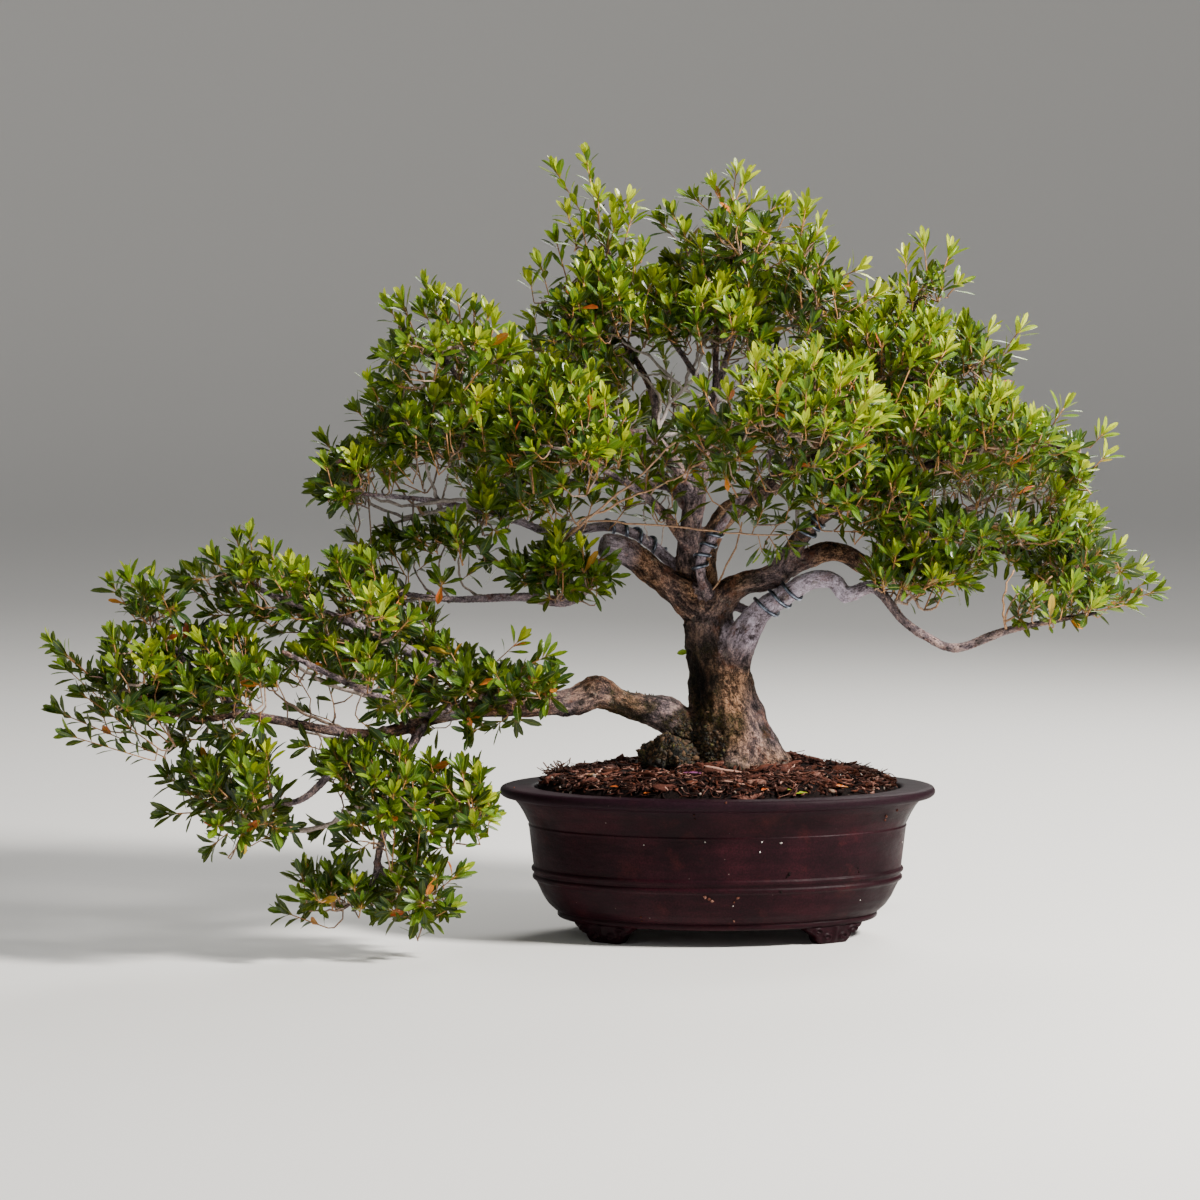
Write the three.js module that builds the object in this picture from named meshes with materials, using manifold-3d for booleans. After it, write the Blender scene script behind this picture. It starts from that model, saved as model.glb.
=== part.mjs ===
// Satsuki azalea bonsai in an oval unglazed pot.
// Millimetres, +Z up, the front of the tree faces -Y. The pot stands on the plane z = 0.
import * as THREE from "three";
import { mergeVertices } from "three/addons/utils/BufferGeometryUtils.js";
import Module from "manifold-3d";

const wasm = await Module();
wasm.setup();

// ---------------------------------------------------------------- driving dimensions

const CLEARANCE = 0.3; // between any two touching pieces

const POT_LENGTH = 410; // over the rim, along X
const POT_OVALNESS = 0.655; // width along Y over length along X
const POT_HEIGHT = 141;
const LIP_THICKNESS = 10.5;
const FOOT_HEIGHT = 16.5;
const FLOOR_THICKNESS = 8;
const WALL_THICKNESS = 7;
const NECK_STEP_HEIGHT = 105; // the small step where the neck meets the wall
const BEAD_HEIGHTS = [55, 62.5]; // the two raised lines round the wall
const BEAD_RADIUS = 2.6;
const POT_SIDES = 36;

const FOOT_X = 110; // foot centres, left and right of the middle
const FOOT_TOP_WIDTH = 56;
const FOOT_BOTTOM_WIDTH = 27;
const FOOT_DEPTH = 24; // along X, from the base ring inwards

const DRAIN_X = 78;
const DRAIN_RADIUS = 11;
const DRAIN_SIDES = 16;
const SCREEN_SIZE = 36;
const SCREEN_THICKNESS = 1.2;

const SOIL_CROWN = 163; // height of the mound at the trunk
const MOSS_CENTRE = [-44, -24, 163];
const MOSS_HALF_SIZE = [30, 24, 15];

const WIRE_RADIUS = 1.6;
const WIRE_SIDES = 6;
const WIRE_SLACK = 0.4; // between a wire's turns and the bark, on top of the clearance
const WIRE_POINTS_PER_TURN = 10;

const BARK_SIDES = 12; // round the trunk
const LIMB_SIDES = 8; // round a thick limb
const TWIG_SIDES = 5; // round a thin one
const THICK_LIMB = 9; // radius from which a limb gets LIMB_SIDES

const LARGE_PAD = 84; // half width from which a foliage pad gets the finer ball
const PAD_LUMPS = 0.05; // how far the lumps stand out, as a share of the pad

// ---------------------------------------------------------------- limbs

// Each row is a place on a limb's centre line and the limb's radius there: [x, y, z, radius].
const TRUNK = [
  [20, 4, 122, 64],
  [18, 4, 140, 57],
  [13, 3, 160, 48],
  [11, 2, 188, 40],
  [5, 1, 221, 32.5],
  [2, 0, 250, 26.5],
  [-5, 0, 273, 24],
  [-9, 0, 297, 24],
  [-16, 0, 316, 18],
];

const LIMBS = {
  root_right: [[35, -8, 168, 18], [72, -18, 157, 10], [102, -26, 143, 5]],
  root_front: [[12, -25, 162, 16], [16, -62, 148, 7]],
  root_left: [[-15, -10, 165, 18], [-58, -34, 154, 9], [-82, -44, 142, 5]],
  root_back: [[18, 20, 164, 18], [34, 64, 148, 7]],
  first_left: [
    [-14, 0, 180, 17], [-47, -16, 208, 16], [-81, -30, 218, 12], [-98, -37, 225, 12.5],
    [-114, -44, 233, 15], [-131, -52, 225, 12.5], [-177, -70, 222, 9.5], [-241, -100, 220, 7.5],
    [-315, -135, 203, 5.5], [-356, -150, 208, 4.5], [-430, -182, 225, 3.6], [-474, -200, 224, 3],
    [-552, -220, 256, 2],
  ],
  cascade_tuft: [[-430, -182, 225, 3.2], [-478, -192, 268, 2.8], [-514, -196, 318, 2]],
  cascade_rise: [
    [-200, -80, 222, 7], [-250, -96, 256, 5.5], [-339, -122, 304, 4], [-424, -145, 340, 2.8],
    [-434, -150, 360, 2],
  ],
  cascade_face: [
    [-236, -98, 218, 5.5], [-275, -130, 223, 4.4], [-333, -165, 250, 3.4], [-396, -186, 283, 2.2],
  ],
  cascade_drop: [
    [-271, -114, 212, 5.2], [-290, -138, 175, 4.4], [-311, -156, 99, 3.2], [-318, -158, 68, 2.7],
    [-344, -158, 46, 2],
  ],
  cascade_foot: [[-314, -157, 88, 2.8], [-294, -155, 66, 2.5], [-272, -150, 52, 2]],
  cascade_side: [[-290, -138, 175, 3.4], [-264, -138, 154, 2.8], [-240, -135, 128, 2]],
  cascade_low: [
    [-308, -132, 206, 4.6], [-351, -158, 173, 3.8], [-382, -172, 147, 3.2], [-446, -182, 140, 2],
  ],
  cascade_back: [[-234, -97, 220, 5], [-273, -55, 236, 4.2], [-317, -28, 252, 2.6]],
  upper_left: [
    [-10, 0, 302, 20], [-32, -5, 321, 15.5], [-55, -12, 338, 13], [-87, -24, 362, 12],
    [-107, -30, 368, 11],
  ],
  left_wired: [
    [-22, 6, 316, 6], [-38, 14, 343, 5.6], [-52, 13, 358, 5.2], [-69, 9, 372, 4.8],
    [-87, 3, 381, 4.6], [-105, -5, 385, 4.4], [-156, -31, 381, 4], [-192, -42, 394, 3.6],
    [-259, -62, 411, 2.8], [-338, -78, 420, 2],
  ],
  left_hang: [[-148, -28, 381, 3.4], [-156, -44, 362, 2.8], [-156, -54, 346, 2]],
  left_lower: [
    [-96, -24, 360, 7], [-113, -10, 344, 7], [-127, -4, 327, 7.5], [-141, -8, 316, 5.5],
    [-183, -22, 320, 4.6], [-248, -52, 320, 3.4], [-298, -74, 328, 2.1],
  ],
  leader: [
    [-16, 3, 306, 17], [-25, 8, 337, 12.5], [-29, 10, 366, 11.5], [-25, 14, 420, 9.8],
    [-19, 14, 451, 8.6], [-2, 10, 508, 6.6], [-1, 12, 560, 4], [16, 20, 650, 2],
  ],
  apex_left_stem: [[-4, 10, 500, 5.2], [-45, 6, 561, 4.1], [-86, 6, 606, 2.8], [-104, 8, 645, 2]],
  centre_wired: [
    [-6, -10, 318, 6], [-16, -20, 339, 5.2], [-16, -22, 357, 5], [-7, -20, 372, 4.8],
    [3, -20, 388, 4.4], [18, -30, 409, 4], [37, -60, 440, 3.4], [52, -105, 470, 2.8],
    [60, -132, 487, 2],
  ],
  centre_right: [
    [-12, 8, 316, 13], [-13, 14, 352, 10.5], [-5, 17, 376, 10], [9, 19, 396, 9.7],
    [28, 22, 407, 9], [78, 32, 440, 6.4], [125, 34, 502, 4.2], [153, 28, 559, 2],
  ],
  right_shoulder_stem: [[125, 34, 502, 3.4], [188, 28, 524, 2.8], [246, 22, 537, 2]],
  right_tuft_stem: [[125, 34, 502, 3.6], [180, 40, 577, 2.6], [201, 42, 620, 2]],
  apex_right_stem: [[72, 31, 434, 4.6], [89, 20, 526, 3.3], [98, 12, 602, 2]],
  right_main: [
    [-6, -4, 304, 17], [11, -9, 324, 12.5], [26, -12, 332, 11], [44, -15, 336, 11.5], [57, -16, 340, 12],
  ],
  right_rise: [
    [54, -16, 339, 11], [66, -17, 359, 9], [87, -22, 388, 7.2], [104, -25, 400, 6.4],
    [168, -38, 434, 4.5], [264, -50, 462, 3], [334, -46, 460, 2],
  ],
  right_front_twig: [[100, -24, 398, 3.6], [122, -52, 412, 2.8], [138, -74, 420, 2]],
  right_arch: [
    [52, -16, 339, 10.5], [79, -11, 353, 9.6], [102, -6, 361, 9.6], [120, -1, 358, 9.2],
    [155, 10, 339, 7], [183, 14, 341, 5.8], [266, 14, 361, 4], [353, -8, 344, 2.2],
  ],
  right_middle_twig: [[221, 15, 351, 3.6], [238, -4, 372, 2.8], [250, -18, 388, 2]],
  right_pale: [
    [16, -8, 252, 13.5], [33, -20, 284, 12], [64, -32, 324, 9.2], [87, -38, 337, 8.6],
    [107, -42, 336, 7.2], [118, -45, 324, 7.4], [143, -51, 331, 5.8], [170, -62, 301, 4.2],
    [192, -70, 286, 4.1], [216, -78, 277, 4.2], [264, -89, 294, 3.6], [345, -98, 311, 2],
  ],
  left_crown_limb: [
    [-23, 14, 409, 8], [-43, 4, 445, 6.8], [-62, -4, 468, 6], [-92, -12, 472, 5.2],
    [-155, -32, 470, 4.1], [-222, -55, 503, 3.1], [-265, -84, 562, 2],
  ],
  left_shoulder_stem: [[-155, -32, 470, 3.4], [-217, -50, 479, 2.7], [-252, -58, 477, 2]],
  apex_back_left: [[-62, -4, 468, 4.4], [-59, 8, 501, 3.8], [-97, 12, 567, 2.5], [-121, 8, 580, 2]],
  left_front_limb: [[-29, 6, 366, 5.5], [-50, -30, 397, 4.5], [-83, -70, 427, 3.6], [-152, -105, 465, 2]],
  back_left_limb: [[-24, 14, 398, 7], [-46, 56, 423, 5.6], [-80, 98, 454, 4.4], [-150, 152, 490, 2.2]],
  back_low_left_limb: [[-44, 54, 420, 4.6], [-104, 70, 424, 3.8], [-172, 84, 422, 3], [-236, 96, 425, 2]],
  back_centre_limb: [[-19, 16, 448, 5.6], [-14, 70, 463, 4.8], [-10, 120, 478, 3.8], [-11, 168, 492, 2.6]],
  back_crown_limb: [[-14, 70, 463, 4.2], [4, 84, 520, 3.4], [24, 112, 585, 2]],
  back_right_limb: [[34, 24, 410, 6.4], [56, 66, 429, 5.4], [92, 110, 451, 4.4], [145, 158, 475, 2.2]],
  far_right_limb: [[155, 10, 340, 5], [189, 52, 363, 4.2], [231, 96, 389, 3.4], [274, 125, 408, 2.3]],
};

// Training wires: the limb that each one is wound on, the rows it runs between, and its turns.
const WIRES = {
  training_wire_left: { limb: "left_wired", from: 2, to: 5, turns: 4 },
  training_wire_centre: { limb: "centre_wired", from: 1.2, to: 3.6, turns: 4 },
  training_wire_right_low: { limb: "right_pale", from: 1.4, to: 2.4, turns: 3 },
  training_wire_right_high: { limb: "right_rise", from: 1.6, to: 2.45, turns: 3 },
};

// Foliage pads, the closed outer shape of each cluster of leafy shoots: centre, then half sizes.
const PADS = {
  cascade_tip: [-547, -215, 253, 55, 50, 46],
  cascade_tuft: [-520, -195, 331, 34, 32, 25],
  cascade_crest: [-434, -152, 352, 50, 50, 40],
  cascade_upper: [-352, -125, 316, 65, 62, 45],
  cascade_left: [-460, -180, 246, 56, 58, 54],
  cascade_middle: [-351, -150, 245, 65, 60, 47],
  cascade_inner: [-210, -88, 246, 72, 58, 48],
  cascade_back: [-306, -35, 262, 65, 50, 46],
  cascade_lower_left: [-440, -180, 148, 54, 50, 45],
  cascade_lower: [-327, -152, 145, 63, 56, 50],
  cascade_right: [-240, -135, 129, 34, 38, 44],
  cascade_foot_left: [-358, -158, 56, 47, 40, 31],
  cascade_foot_right: [-275, -150, 56, 42, 40, 33],
  left_tip: [-341, -78, 430, 44, 55, 50],
  left_crest: [-266, -85, 563, 73, 58, 53],
  left_shoulder: [-258, -58, 475, 72, 75, 39],
  left_front: [-155, -105, 470, 58, 55, 55],
  left_under: [-245, -58, 389, 65, 60, 39],
  left_hang: [-155, -52, 351, 57, 48, 30],
  left_low: [-293, -75, 335, 46, 50, 37],
  apex_shoots: [-118, 8, 685, 47, 35, 66],
  apex_left: [-120, 5, 583, 70, 70, 49],
  apex_crown: [16, 20, 664, 77, 75, 58],
  apex_right: [101, 12, 606, 47, 75, 58],
  apex_middle: [-11, 10, 576, 58, 80, 43],
  front_mass: [62, -130, 491, 84, 70, 53],
  right_tuft: [202, 42, 628, 43, 36, 40],
  right_crest: [160, 25, 549, 68, 75, 45],
  right_shoulder: [256, 22, 538, 49, 52, 41],
  right_upper: [237, -45, 471, 97, 80, 39],
  right_front: [136, -75, 421, 57, 50, 33],
  right_tip: [342, -45, 460, 32, 42, 37],
  right_middle: [249, -20, 390, 89, 75, 39],
  right_end: [355, -12, 352, 63, 62, 42],
  right_low: [179, -45, 337, 48, 42, 33],
  right_fringe: [314, -92, 308, 55, 34, 22],
  back_left: [-150, 150, 490, 88, 78, 62],
  back_centre: [-11, 165, 497, 60, 76, 63],
  back_right: [143, 158, 480, 88, 78, 61],
  back_crown: [30, 122, 598, 78, 58, 46],
  back_low_left: [-236, 96, 425, 74, 62, 42],
  far_right: [277, 125, 410, 77, 65, 46],
};

// ---------------------------------------------------------------- materials

const MATERIALS = {
  ceramic: new THREE.MeshStandardMaterial({ color: 0x3c2326, roughness: 0.55, metalness: 0 }),
  soil: new THREE.MeshStandardMaterial({ color: 0x4a2c1e, roughness: 0.95, metalness: 0 }),
  moss: new THREE.MeshStandardMaterial({ color: 0x4d4a22, roughness: 0.95, metalness: 0 }),
  bark: new THREE.MeshStandardMaterial({ color: 0x75695a, roughness: 0.85, metalness: 0 }),
  wire: new THREE.MeshStandardMaterial({ color: 0x5b6470, roughness: 0.4, metalness: 0.9 }),
  screen: new THREE.MeshStandardMaterial({ color: 0x22262a, roughness: 0.6, metalness: 0 }),
  leaf: new THREE.MeshStandardMaterial({ color: 0x5f8426, roughness: 0.45, metalness: 0 }),
};

// ---------------------------------------------------------------- solids and meshes

// A closed three.js geometry as a solid, its shared vertices merged and its collapsed faces left out.
function solidOf(geometry) {
  const bare = new THREE.BufferGeometry().setAttribute("position", geometry.attributes.position);
  if (geometry.index) bare.setIndex(geometry.index);
  const merged = mergeVertices(bare, 1e-4);
  const corners = [];
  for (let i = 0; i < merged.index.count; i += 3) {
    const [a, b, c] = merged.index.array.slice(i, i + 3);
    if (a !== b && b !== c && c !== a) corners.push(a, b, c);
  }
  const mesh = new wasm.Mesh({
    numProp: 3,
    vertProperties: merged.attributes.position.array,
    triVerts: new Uint32Array(corners),
  });
  return new wasm.Manifold(mesh);
}

function geometryOf(solid) {
  const { vertProperties, triVerts } = solid.getMesh();
  return new THREE.BufferGeometry()
    .setAttribute("position", new THREE.BufferAttribute(vertProperties, 3))
    .setIndex(new THREE.BufferAttribute(triVerts, 1));
}

// The biggest body of a solid that a cut may have split.
function largestBody(solid) {
  return solid.decompose().reduce((big, body) => (body.volume() > big.volume() ? body : big));
}

const joined = (solids) => solids.reduce((whole, solid) => whole.add(solid));

// ---------------------------------------------------------------- the pot

// An oval solid of revolution: the profile's points are [half length along X, height].
function ovalTurning(profile, ovalness, sides) {
  const points = profile.map(([x, z]) => new THREE.Vector2(x, z));
  const geometry = new THREE.LatheGeometry(points, sides);
  geometry.rotateX(Math.PI / 2);
  geometry.scale(1, ovalness, 1);
  return solidOf(geometry);
}

// Half lengths of the pot's outside, from the base ring up to the rim.
const HALF_LENGTH = POT_LENGTH / 2;
const BASE_RING = 150;
const LOWER_BODY = [[152, 23], [159.5, 30], [164.5, 37.5], [168.5, 46], [171, BEAD_HEIGHTS[0] - 4]];
const UPPER_WALL = [[173.5, BEAD_HEIGHTS[1] + 4], [177.5, NECK_STEP_HEIGHT - 2]];
const NECK = [[180, NECK_STEP_HEIGHT], [182.5, 114], [187, 122], [192, POT_HEIGHT - LIP_THICKNESS]];

// One bead as three points of a low arc standing on the wall.
function bead(height, wall) {
  return [-1, 0, 1].map((side) => [wall + (side ? 0.9 : BEAD_RADIUS), height + side * BEAD_RADIUS]);
}

const POT_OUTSIDE = [
  [0, FOOT_HEIGHT],
  [BASE_RING - 1.5, FOOT_HEIGHT],
  [BASE_RING + 0.5, FOOT_HEIGHT + 2],
  [BASE_RING + 0.5, FOOT_HEIGHT + 5],
  ...LOWER_BODY,
  ...bead(BEAD_HEIGHTS[0], 172),
  ...bead(BEAD_HEIGHTS[1], 173),
  ...UPPER_WALL,
  ...NECK,
  [HALF_LENGTH - 2.5, POT_HEIGHT - LIP_THICKNESS + 1.5],
  [HALF_LENGTH, POT_HEIGHT - LIP_THICKNESS / 2],
  [HALF_LENGTH - 2, POT_HEIGHT - 1.5],
  [HALF_LENGTH - 6, POT_HEIGHT],
  [0, POT_HEIGHT],
];

const FLOOR_TOP = FOOT_HEIGHT + FLOOR_THICKNESS;
const RIM_INNER = 172; // half length of the opening inside the rim
const CAVITY_WALL = [
  [143, FLOOR_TOP],
  [157, 35],
  [165, 52],
  [167.5, 64],
  [RIM_INNER - 1, NECK_STEP_HEIGHT],
];

// The feet: wedges of the base ring, wide at the top and narrow where they stand.
function feet() {
  const ring = [
    [BASE_RING - FOOT_DEPTH, -1],
    [BASE_RING - 1, -1],
    [BASE_RING - 1, FOOT_HEIGHT + 1],
    [BASE_RING - FOOT_DEPTH, FOOT_HEIGHT + 1],
    [BASE_RING - FOOT_DEPTH, -1],
  ];
  const outline = new THREE.Shape();
  outline.moveTo(-FOOT_BOTTOM_WIDTH / 2, 0);
  outline.lineTo(FOOT_BOTTOM_WIDTH / 2, 0);
  outline.quadraticCurveTo(FOOT_BOTTOM_WIDTH / 2 + 3, 9, FOOT_TOP_WIDTH / 2, FOOT_HEIGHT + 1);
  outline.lineTo(-FOOT_TOP_WIDTH / 2, FOOT_HEIGHT + 1);
  outline.quadraticCurveTo(-FOOT_BOTTOM_WIDTH / 2 - 3, 9, -FOOT_BOTTOM_WIDTH / 2, 0);
  const blocks = [-FOOT_X, FOOT_X].map((x) => {
    const block = new THREE.ExtrudeGeometry(outline, {
      depth: POT_LENGTH,
      curveSegments: 4,
      bevelEnabled: false,
    });
    block.rotateX(Math.PI / 2);
    block.translate(x, POT_LENGTH / 2, 0);
    return solidOf(block);
  });
  return joined(blocks).intersect(ovalTurning(ring, POT_OVALNESS, POT_SIDES));
}

function drainHole(x) {
  const hole = new THREE.CylinderGeometry(DRAIN_RADIUS, DRAIN_RADIUS, 4 * FLOOR_THICKNESS, DRAIN_SIDES);
  hole.rotateX(Math.PI / 2);
  hole.translate(x, 0, FOOT_HEIGHT + FLOOR_THICKNESS / 2);
  return solidOf(hole);
}

// Makes the wall about as thick at the front as at the ends.
const CAVITY_OVALNESS = (HALF_LENGTH * POT_OVALNESS - WALL_THICKNESS) / (HALF_LENGTH - WALL_THICKNESS);

function pot() {
  const cavity = [[0, FLOOR_TOP], ...CAVITY_WALL, [RIM_INNER, POT_HEIGHT + 1], [0, POT_HEIGHT + 1]];
  return ovalTurning(POT_OUTSIDE, POT_OVALNESS, POT_SIDES)
    .subtract(ovalTurning(cavity, CAVITY_OVALNESS, POT_SIDES))
    .add(feet())
    .subtract(drainHole(-DRAIN_X))
    .subtract(drainHole(DRAIN_X));
}

function drainageScreen(x, spare) {
  const size = SCREEN_SIZE + 2 * spare;
  const plate = new THREE.BoxGeometry(size, size, SCREEN_THICKNESS + 2 * spare);
  plate.translate(x, 0, FLOOR_TOP + CLEARANCE + SCREEN_THICKNESS / 2);
  return solidOf(plate);
}

// ---------------------------------------------------------------- trunk, limbs and wires

// Places along a limb between two of its rows: the centre, the radius, and two directions across the
// limb, carried along it without twist.
function stations(rows, from, to, count) {
  const curve = new THREE.CatmullRomCurve3(
    rows.map(([x, y, z]) => new THREE.Vector3(x, y, z)),
    false,
    "centripetal",
  );
  const last = rows.length - 1;
  const across = new THREE.Vector3(0.4, 0.5, 0.8);
  return Array.from({ length: count + 1 }, (_, i) => {
    const at = from + ((to - from) * i) / count;
    const row = Math.min(Math.floor(at), last - 1);
    const along = curve.getTangent(at / last);
    across.addScaledVector(along, -across.dot(along)).normalize();
    return {
      centre: curve.getPoint(at / last),
      along,
      across: across.clone(),
      beside: along.clone().cross(across),
      radius: THREE.MathUtils.lerp(rows[row][3], rows[row + 1][3], at - row),
    };
  });
}

// A turned taper bent along the limb's centre line, with `spare` added all round.
function limb(rows, sides, steps, spare) {
  const places = stations(rows, 0, rows.length - 1, steps);
  const profile = [
    new THREE.Vector2(0, 0),
    ...places.map(({ radius }, step) => new THREE.Vector2(radius + spare, step)),
    new THREE.Vector2(0, steps),
  ];
  const geometry = new THREE.LatheGeometry(profile, sides);
  const position = geometry.attributes.position;
  for (let i = 0; i < position.count; i++) {
    const step = Math.round(position.getY(i));
    const { centre, along, across, beside } = places[step];
    const spot = centre.clone();
    spot.addScaledVector(across, position.getX(i));
    spot.addScaledVector(beside, -position.getZ(i));
    if (step === 0) spot.addScaledVector(along, -spare);
    if (step === steps) spot.addScaledVector(along, spare);
    position.setXYZ(i, spot.x, spot.y, spot.z);
  }
  return solidOf(geometry);
}

// The whole woody part, which grew as one piece.
function tree(spare) {
  const wired = Object.values(WIRES).map((wire) => wire.limb);
  const limbs = Object.entries(LIMBS).map(([name, rows]) => {
    const sides = rows[0][3] >= THICK_LIMB ? LIMB_SIDES : TWIG_SIDES;
    const steps = (rows.length - 1) * (wired.includes(name) ? 2 : 1);
    return limb(rows, sides, steps, spare);
  });
  return joined([limb(TRUNK, BARK_SIDES, TRUNK.length - 1, spare), ...limbs]);
}

// A wire wound on a limb, just clear of its bark.
function trainingWire({ limb: name, from, to, turns }, spare) {
  const count = turns * WIRE_POINTS_PER_TURN;
  const flat = Math.cos(Math.PI / WIRE_POINTS_PER_TURN);
  const points = stations(LIMBS[name], from, to, count).map(({ centre, across, beside, radius }, i) => {
    const angle = (2 * Math.PI * i) / WIRE_POINTS_PER_TURN;
    const reach = (radius + CLEARANCE + WIRE_SLACK + WIRE_RADIUS) / flat;
    return centre
      .addScaledVector(across, reach * Math.cos(angle))
      .addScaledVector(beside, reach * Math.sin(angle));
  });
  const section = new THREE.Shape();
  section.absarc(0, 0, WIRE_RADIUS + spare, 0, 2 * Math.PI);
  const geometry = new THREE.ExtrudeGeometry(section, {
    steps: count,
    curveSegments: WIRE_SIDES / 2, // an arc gets two points for each
    bevelEnabled: false,
    extrudePath: new THREE.CatmullRomCurve3(points),
  });
  return solidOf(geometry);
}

// ---------------------------------------------------------------- soil and moss

function soilBody(spare) {
  const gap = 1.5 * CLEARANCE; // along X, so that the oval's narrow way keeps about CLEARANCE
  const profile = [
    [0, FLOOR_TOP + CLEARANCE],
    ...CAVITY_WALL.map(([x, z]) => [x - gap, z + (z === FLOOR_TOP ? CLEARANCE : 0)]),
    [RIM_INNER - gap, POT_HEIGHT - 4],
    [RIM_INNER - 12, POT_HEIGHT + 5],
    [RIM_INNER - 40, SOIL_CROWN - 10],
    [RIM_INNER - 85, SOIL_CROWN - 5],
    [RIM_INNER - 130, SOIL_CROWN],
    [0, SOIL_CROWN],
  ];
  const raised = profile.map(([x, z]) => [x, z > POT_HEIGHT ? z + spare : z]);
  return ovalTurning(raised, CAVITY_OVALNESS, POT_SIDES);
}

function mossPatch() {
  const ball = new THREE.IcosahedronGeometry(1, 2);
  ball.scale(...MOSS_HALF_SIZE);
  ball.translate(...MOSS_CENTRE);
  return solidOf(ball);
}

// ---------------------------------------------------------------- foliage

// A lumpy ball, with `spare` added all round; `turn` gives each pad lumps of its own.
function foliagePad([x, y, z, ...halfSize], turn, spare) {
  const large = Math.max(...halfSize) >= LARGE_PAD;
  const geometry = new THREE.IcosahedronGeometry(1, large ? 2 : 1);
  const position = geometry.attributes.position;
  for (let i = 0; i < position.count; i++) {
    const way = new THREE.Vector3().fromBufferAttribute(position, i);
    const waves = Math.sin(5 * way.x + turn) + Math.sin(6 * way.y + 4 * way.z + turn);
    const spot = new THREE.Vector3(...halfSize).multiply(way).multiplyScalar(1 + PAD_LUMPS * waves);
    spot.addScaledVector(way, spare);
    position.setXYZ(i, x + spot.x, y + spot.y, z + spot.z);
  }
  return solidOf(geometry);
}

// ---------------------------------------------------------------- assembly

const bonsai = new THREE.Group();
bonsai.name = "satsuki_azalea_bonsai";

function place(name, solid, material) {
  const mesh = new THREE.Mesh(geometryOf(solid), material);
  mesh.name = name;
  bonsai.add(mesh);
}

const wood = tree(0);
const woodRoom = tree(CLEARANCE);
const screens = { left: -DRAIN_X, right: DRAIN_X };

place("pot", pot(), MATERIALS.ceramic);
for (const [side, x] of Object.entries(screens)) {
  place(`drainage_screen_${side}`, drainageScreen(x, 0), MATERIALS.screen);
}

const soil = Object.values(screens)
  .reduce((body, x) => body.subtract(drainageScreen(x, CLEARANCE)), soilBody(0))
  .subtract(woodRoom);
place("soil", largestBody(soil), MATERIALS.soil);
place("trunk_and_branches", wood, MATERIALS.bark);

const moss = mossPatch().subtract(soilBody(CLEARANCE)).subtract(woodRoom);
place("moss_patch", largestBody(moss), MATERIALS.moss);

let taken = woodRoom;
for (const [name, wire] of Object.entries(WIRES)) {
  place(name, trainingWire(wire, 0), MATERIALS.wire);
  taken = taken.add(trainingWire(wire, CLEARANCE));
}

Object.entries(PADS).forEach(([name, row], turn) => {
  const pad = foliagePad(row, turn, 0).subtract(taken);
  place(`foliage_${name}`, largestBody(pad), MATERIALS.leaf);
  taken = taken.add(foliagePad(row, turn, CLEARANCE));
});

// The origin is the middle of the bounding box, on the plane that the feet stand on.
const middle = new THREE.Box3().setFromObject(bonsai).getCenter(new THREE.Vector3());
bonsai.position.set(-middle.x, -middle.y, 0);

export default bonsai;
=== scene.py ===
"""Looks of the satsuki azalea bonsai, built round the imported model.

Metres, +Z up. The front of the tree faces -Y.
"""

import math

import bpy
import numpy as np
from mathutils.bvhtree import BVHTree
from mathutils.kdtree import KDTree
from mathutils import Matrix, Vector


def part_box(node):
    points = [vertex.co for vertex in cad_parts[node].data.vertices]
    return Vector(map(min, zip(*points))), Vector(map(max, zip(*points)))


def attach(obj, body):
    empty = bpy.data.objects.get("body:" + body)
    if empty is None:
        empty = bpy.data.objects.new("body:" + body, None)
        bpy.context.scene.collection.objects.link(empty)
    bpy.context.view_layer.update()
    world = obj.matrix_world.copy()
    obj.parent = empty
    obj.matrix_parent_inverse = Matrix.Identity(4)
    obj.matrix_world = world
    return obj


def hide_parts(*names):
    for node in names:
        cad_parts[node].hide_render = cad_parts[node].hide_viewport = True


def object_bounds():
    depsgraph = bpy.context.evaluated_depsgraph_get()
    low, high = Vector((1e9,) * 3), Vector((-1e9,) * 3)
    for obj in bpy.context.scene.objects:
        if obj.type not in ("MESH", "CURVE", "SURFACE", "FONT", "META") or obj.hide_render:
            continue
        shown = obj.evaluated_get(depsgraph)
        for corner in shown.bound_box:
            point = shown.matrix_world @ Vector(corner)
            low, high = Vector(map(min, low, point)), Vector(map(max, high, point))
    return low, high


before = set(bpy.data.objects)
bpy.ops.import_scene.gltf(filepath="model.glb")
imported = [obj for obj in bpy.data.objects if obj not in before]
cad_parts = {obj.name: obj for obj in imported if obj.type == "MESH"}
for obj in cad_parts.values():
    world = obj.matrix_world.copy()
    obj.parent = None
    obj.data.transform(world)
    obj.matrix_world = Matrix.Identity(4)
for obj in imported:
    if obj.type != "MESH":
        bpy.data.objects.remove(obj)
cad_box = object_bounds()

MM = 0.001
rng = np.random.default_rng(46)

# ---------------------------------------------------------------- camera

VIEW = 1200  # pixels on a side of the photograph, in which every pixel below is counted
CAMERA_PLACE = (-0.0194, -4.2670, 0.6355)
CAMERA_PITCH = 4.275  # degrees below the horizon
CAMERA_LENS = 137.16  # millimetres
SENSOR_WIDTH = 36  # millimetres

camera = bpy.data.objects.new("camera", bpy.data.cameras.new("camera"))
camera.data.sensor_width = SENSOR_WIDTH
camera.data.lens = CAMERA_LENS
camera.location = CAMERA_PLACE
camera.rotation_euler = (math.radians(90 - CAMERA_PITCH), 0, 0)
bpy.context.scene.collection.objects.link(camera)
bpy.context.scene.camera = camera
PITCH = math.radians(CAMERA_PITCH)
ZOOM = CAMERA_LENS / SENSOR_WIDTH * VIEW  # pixels for each unit of slope
MIDDLE = VIEW / 2


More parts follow.
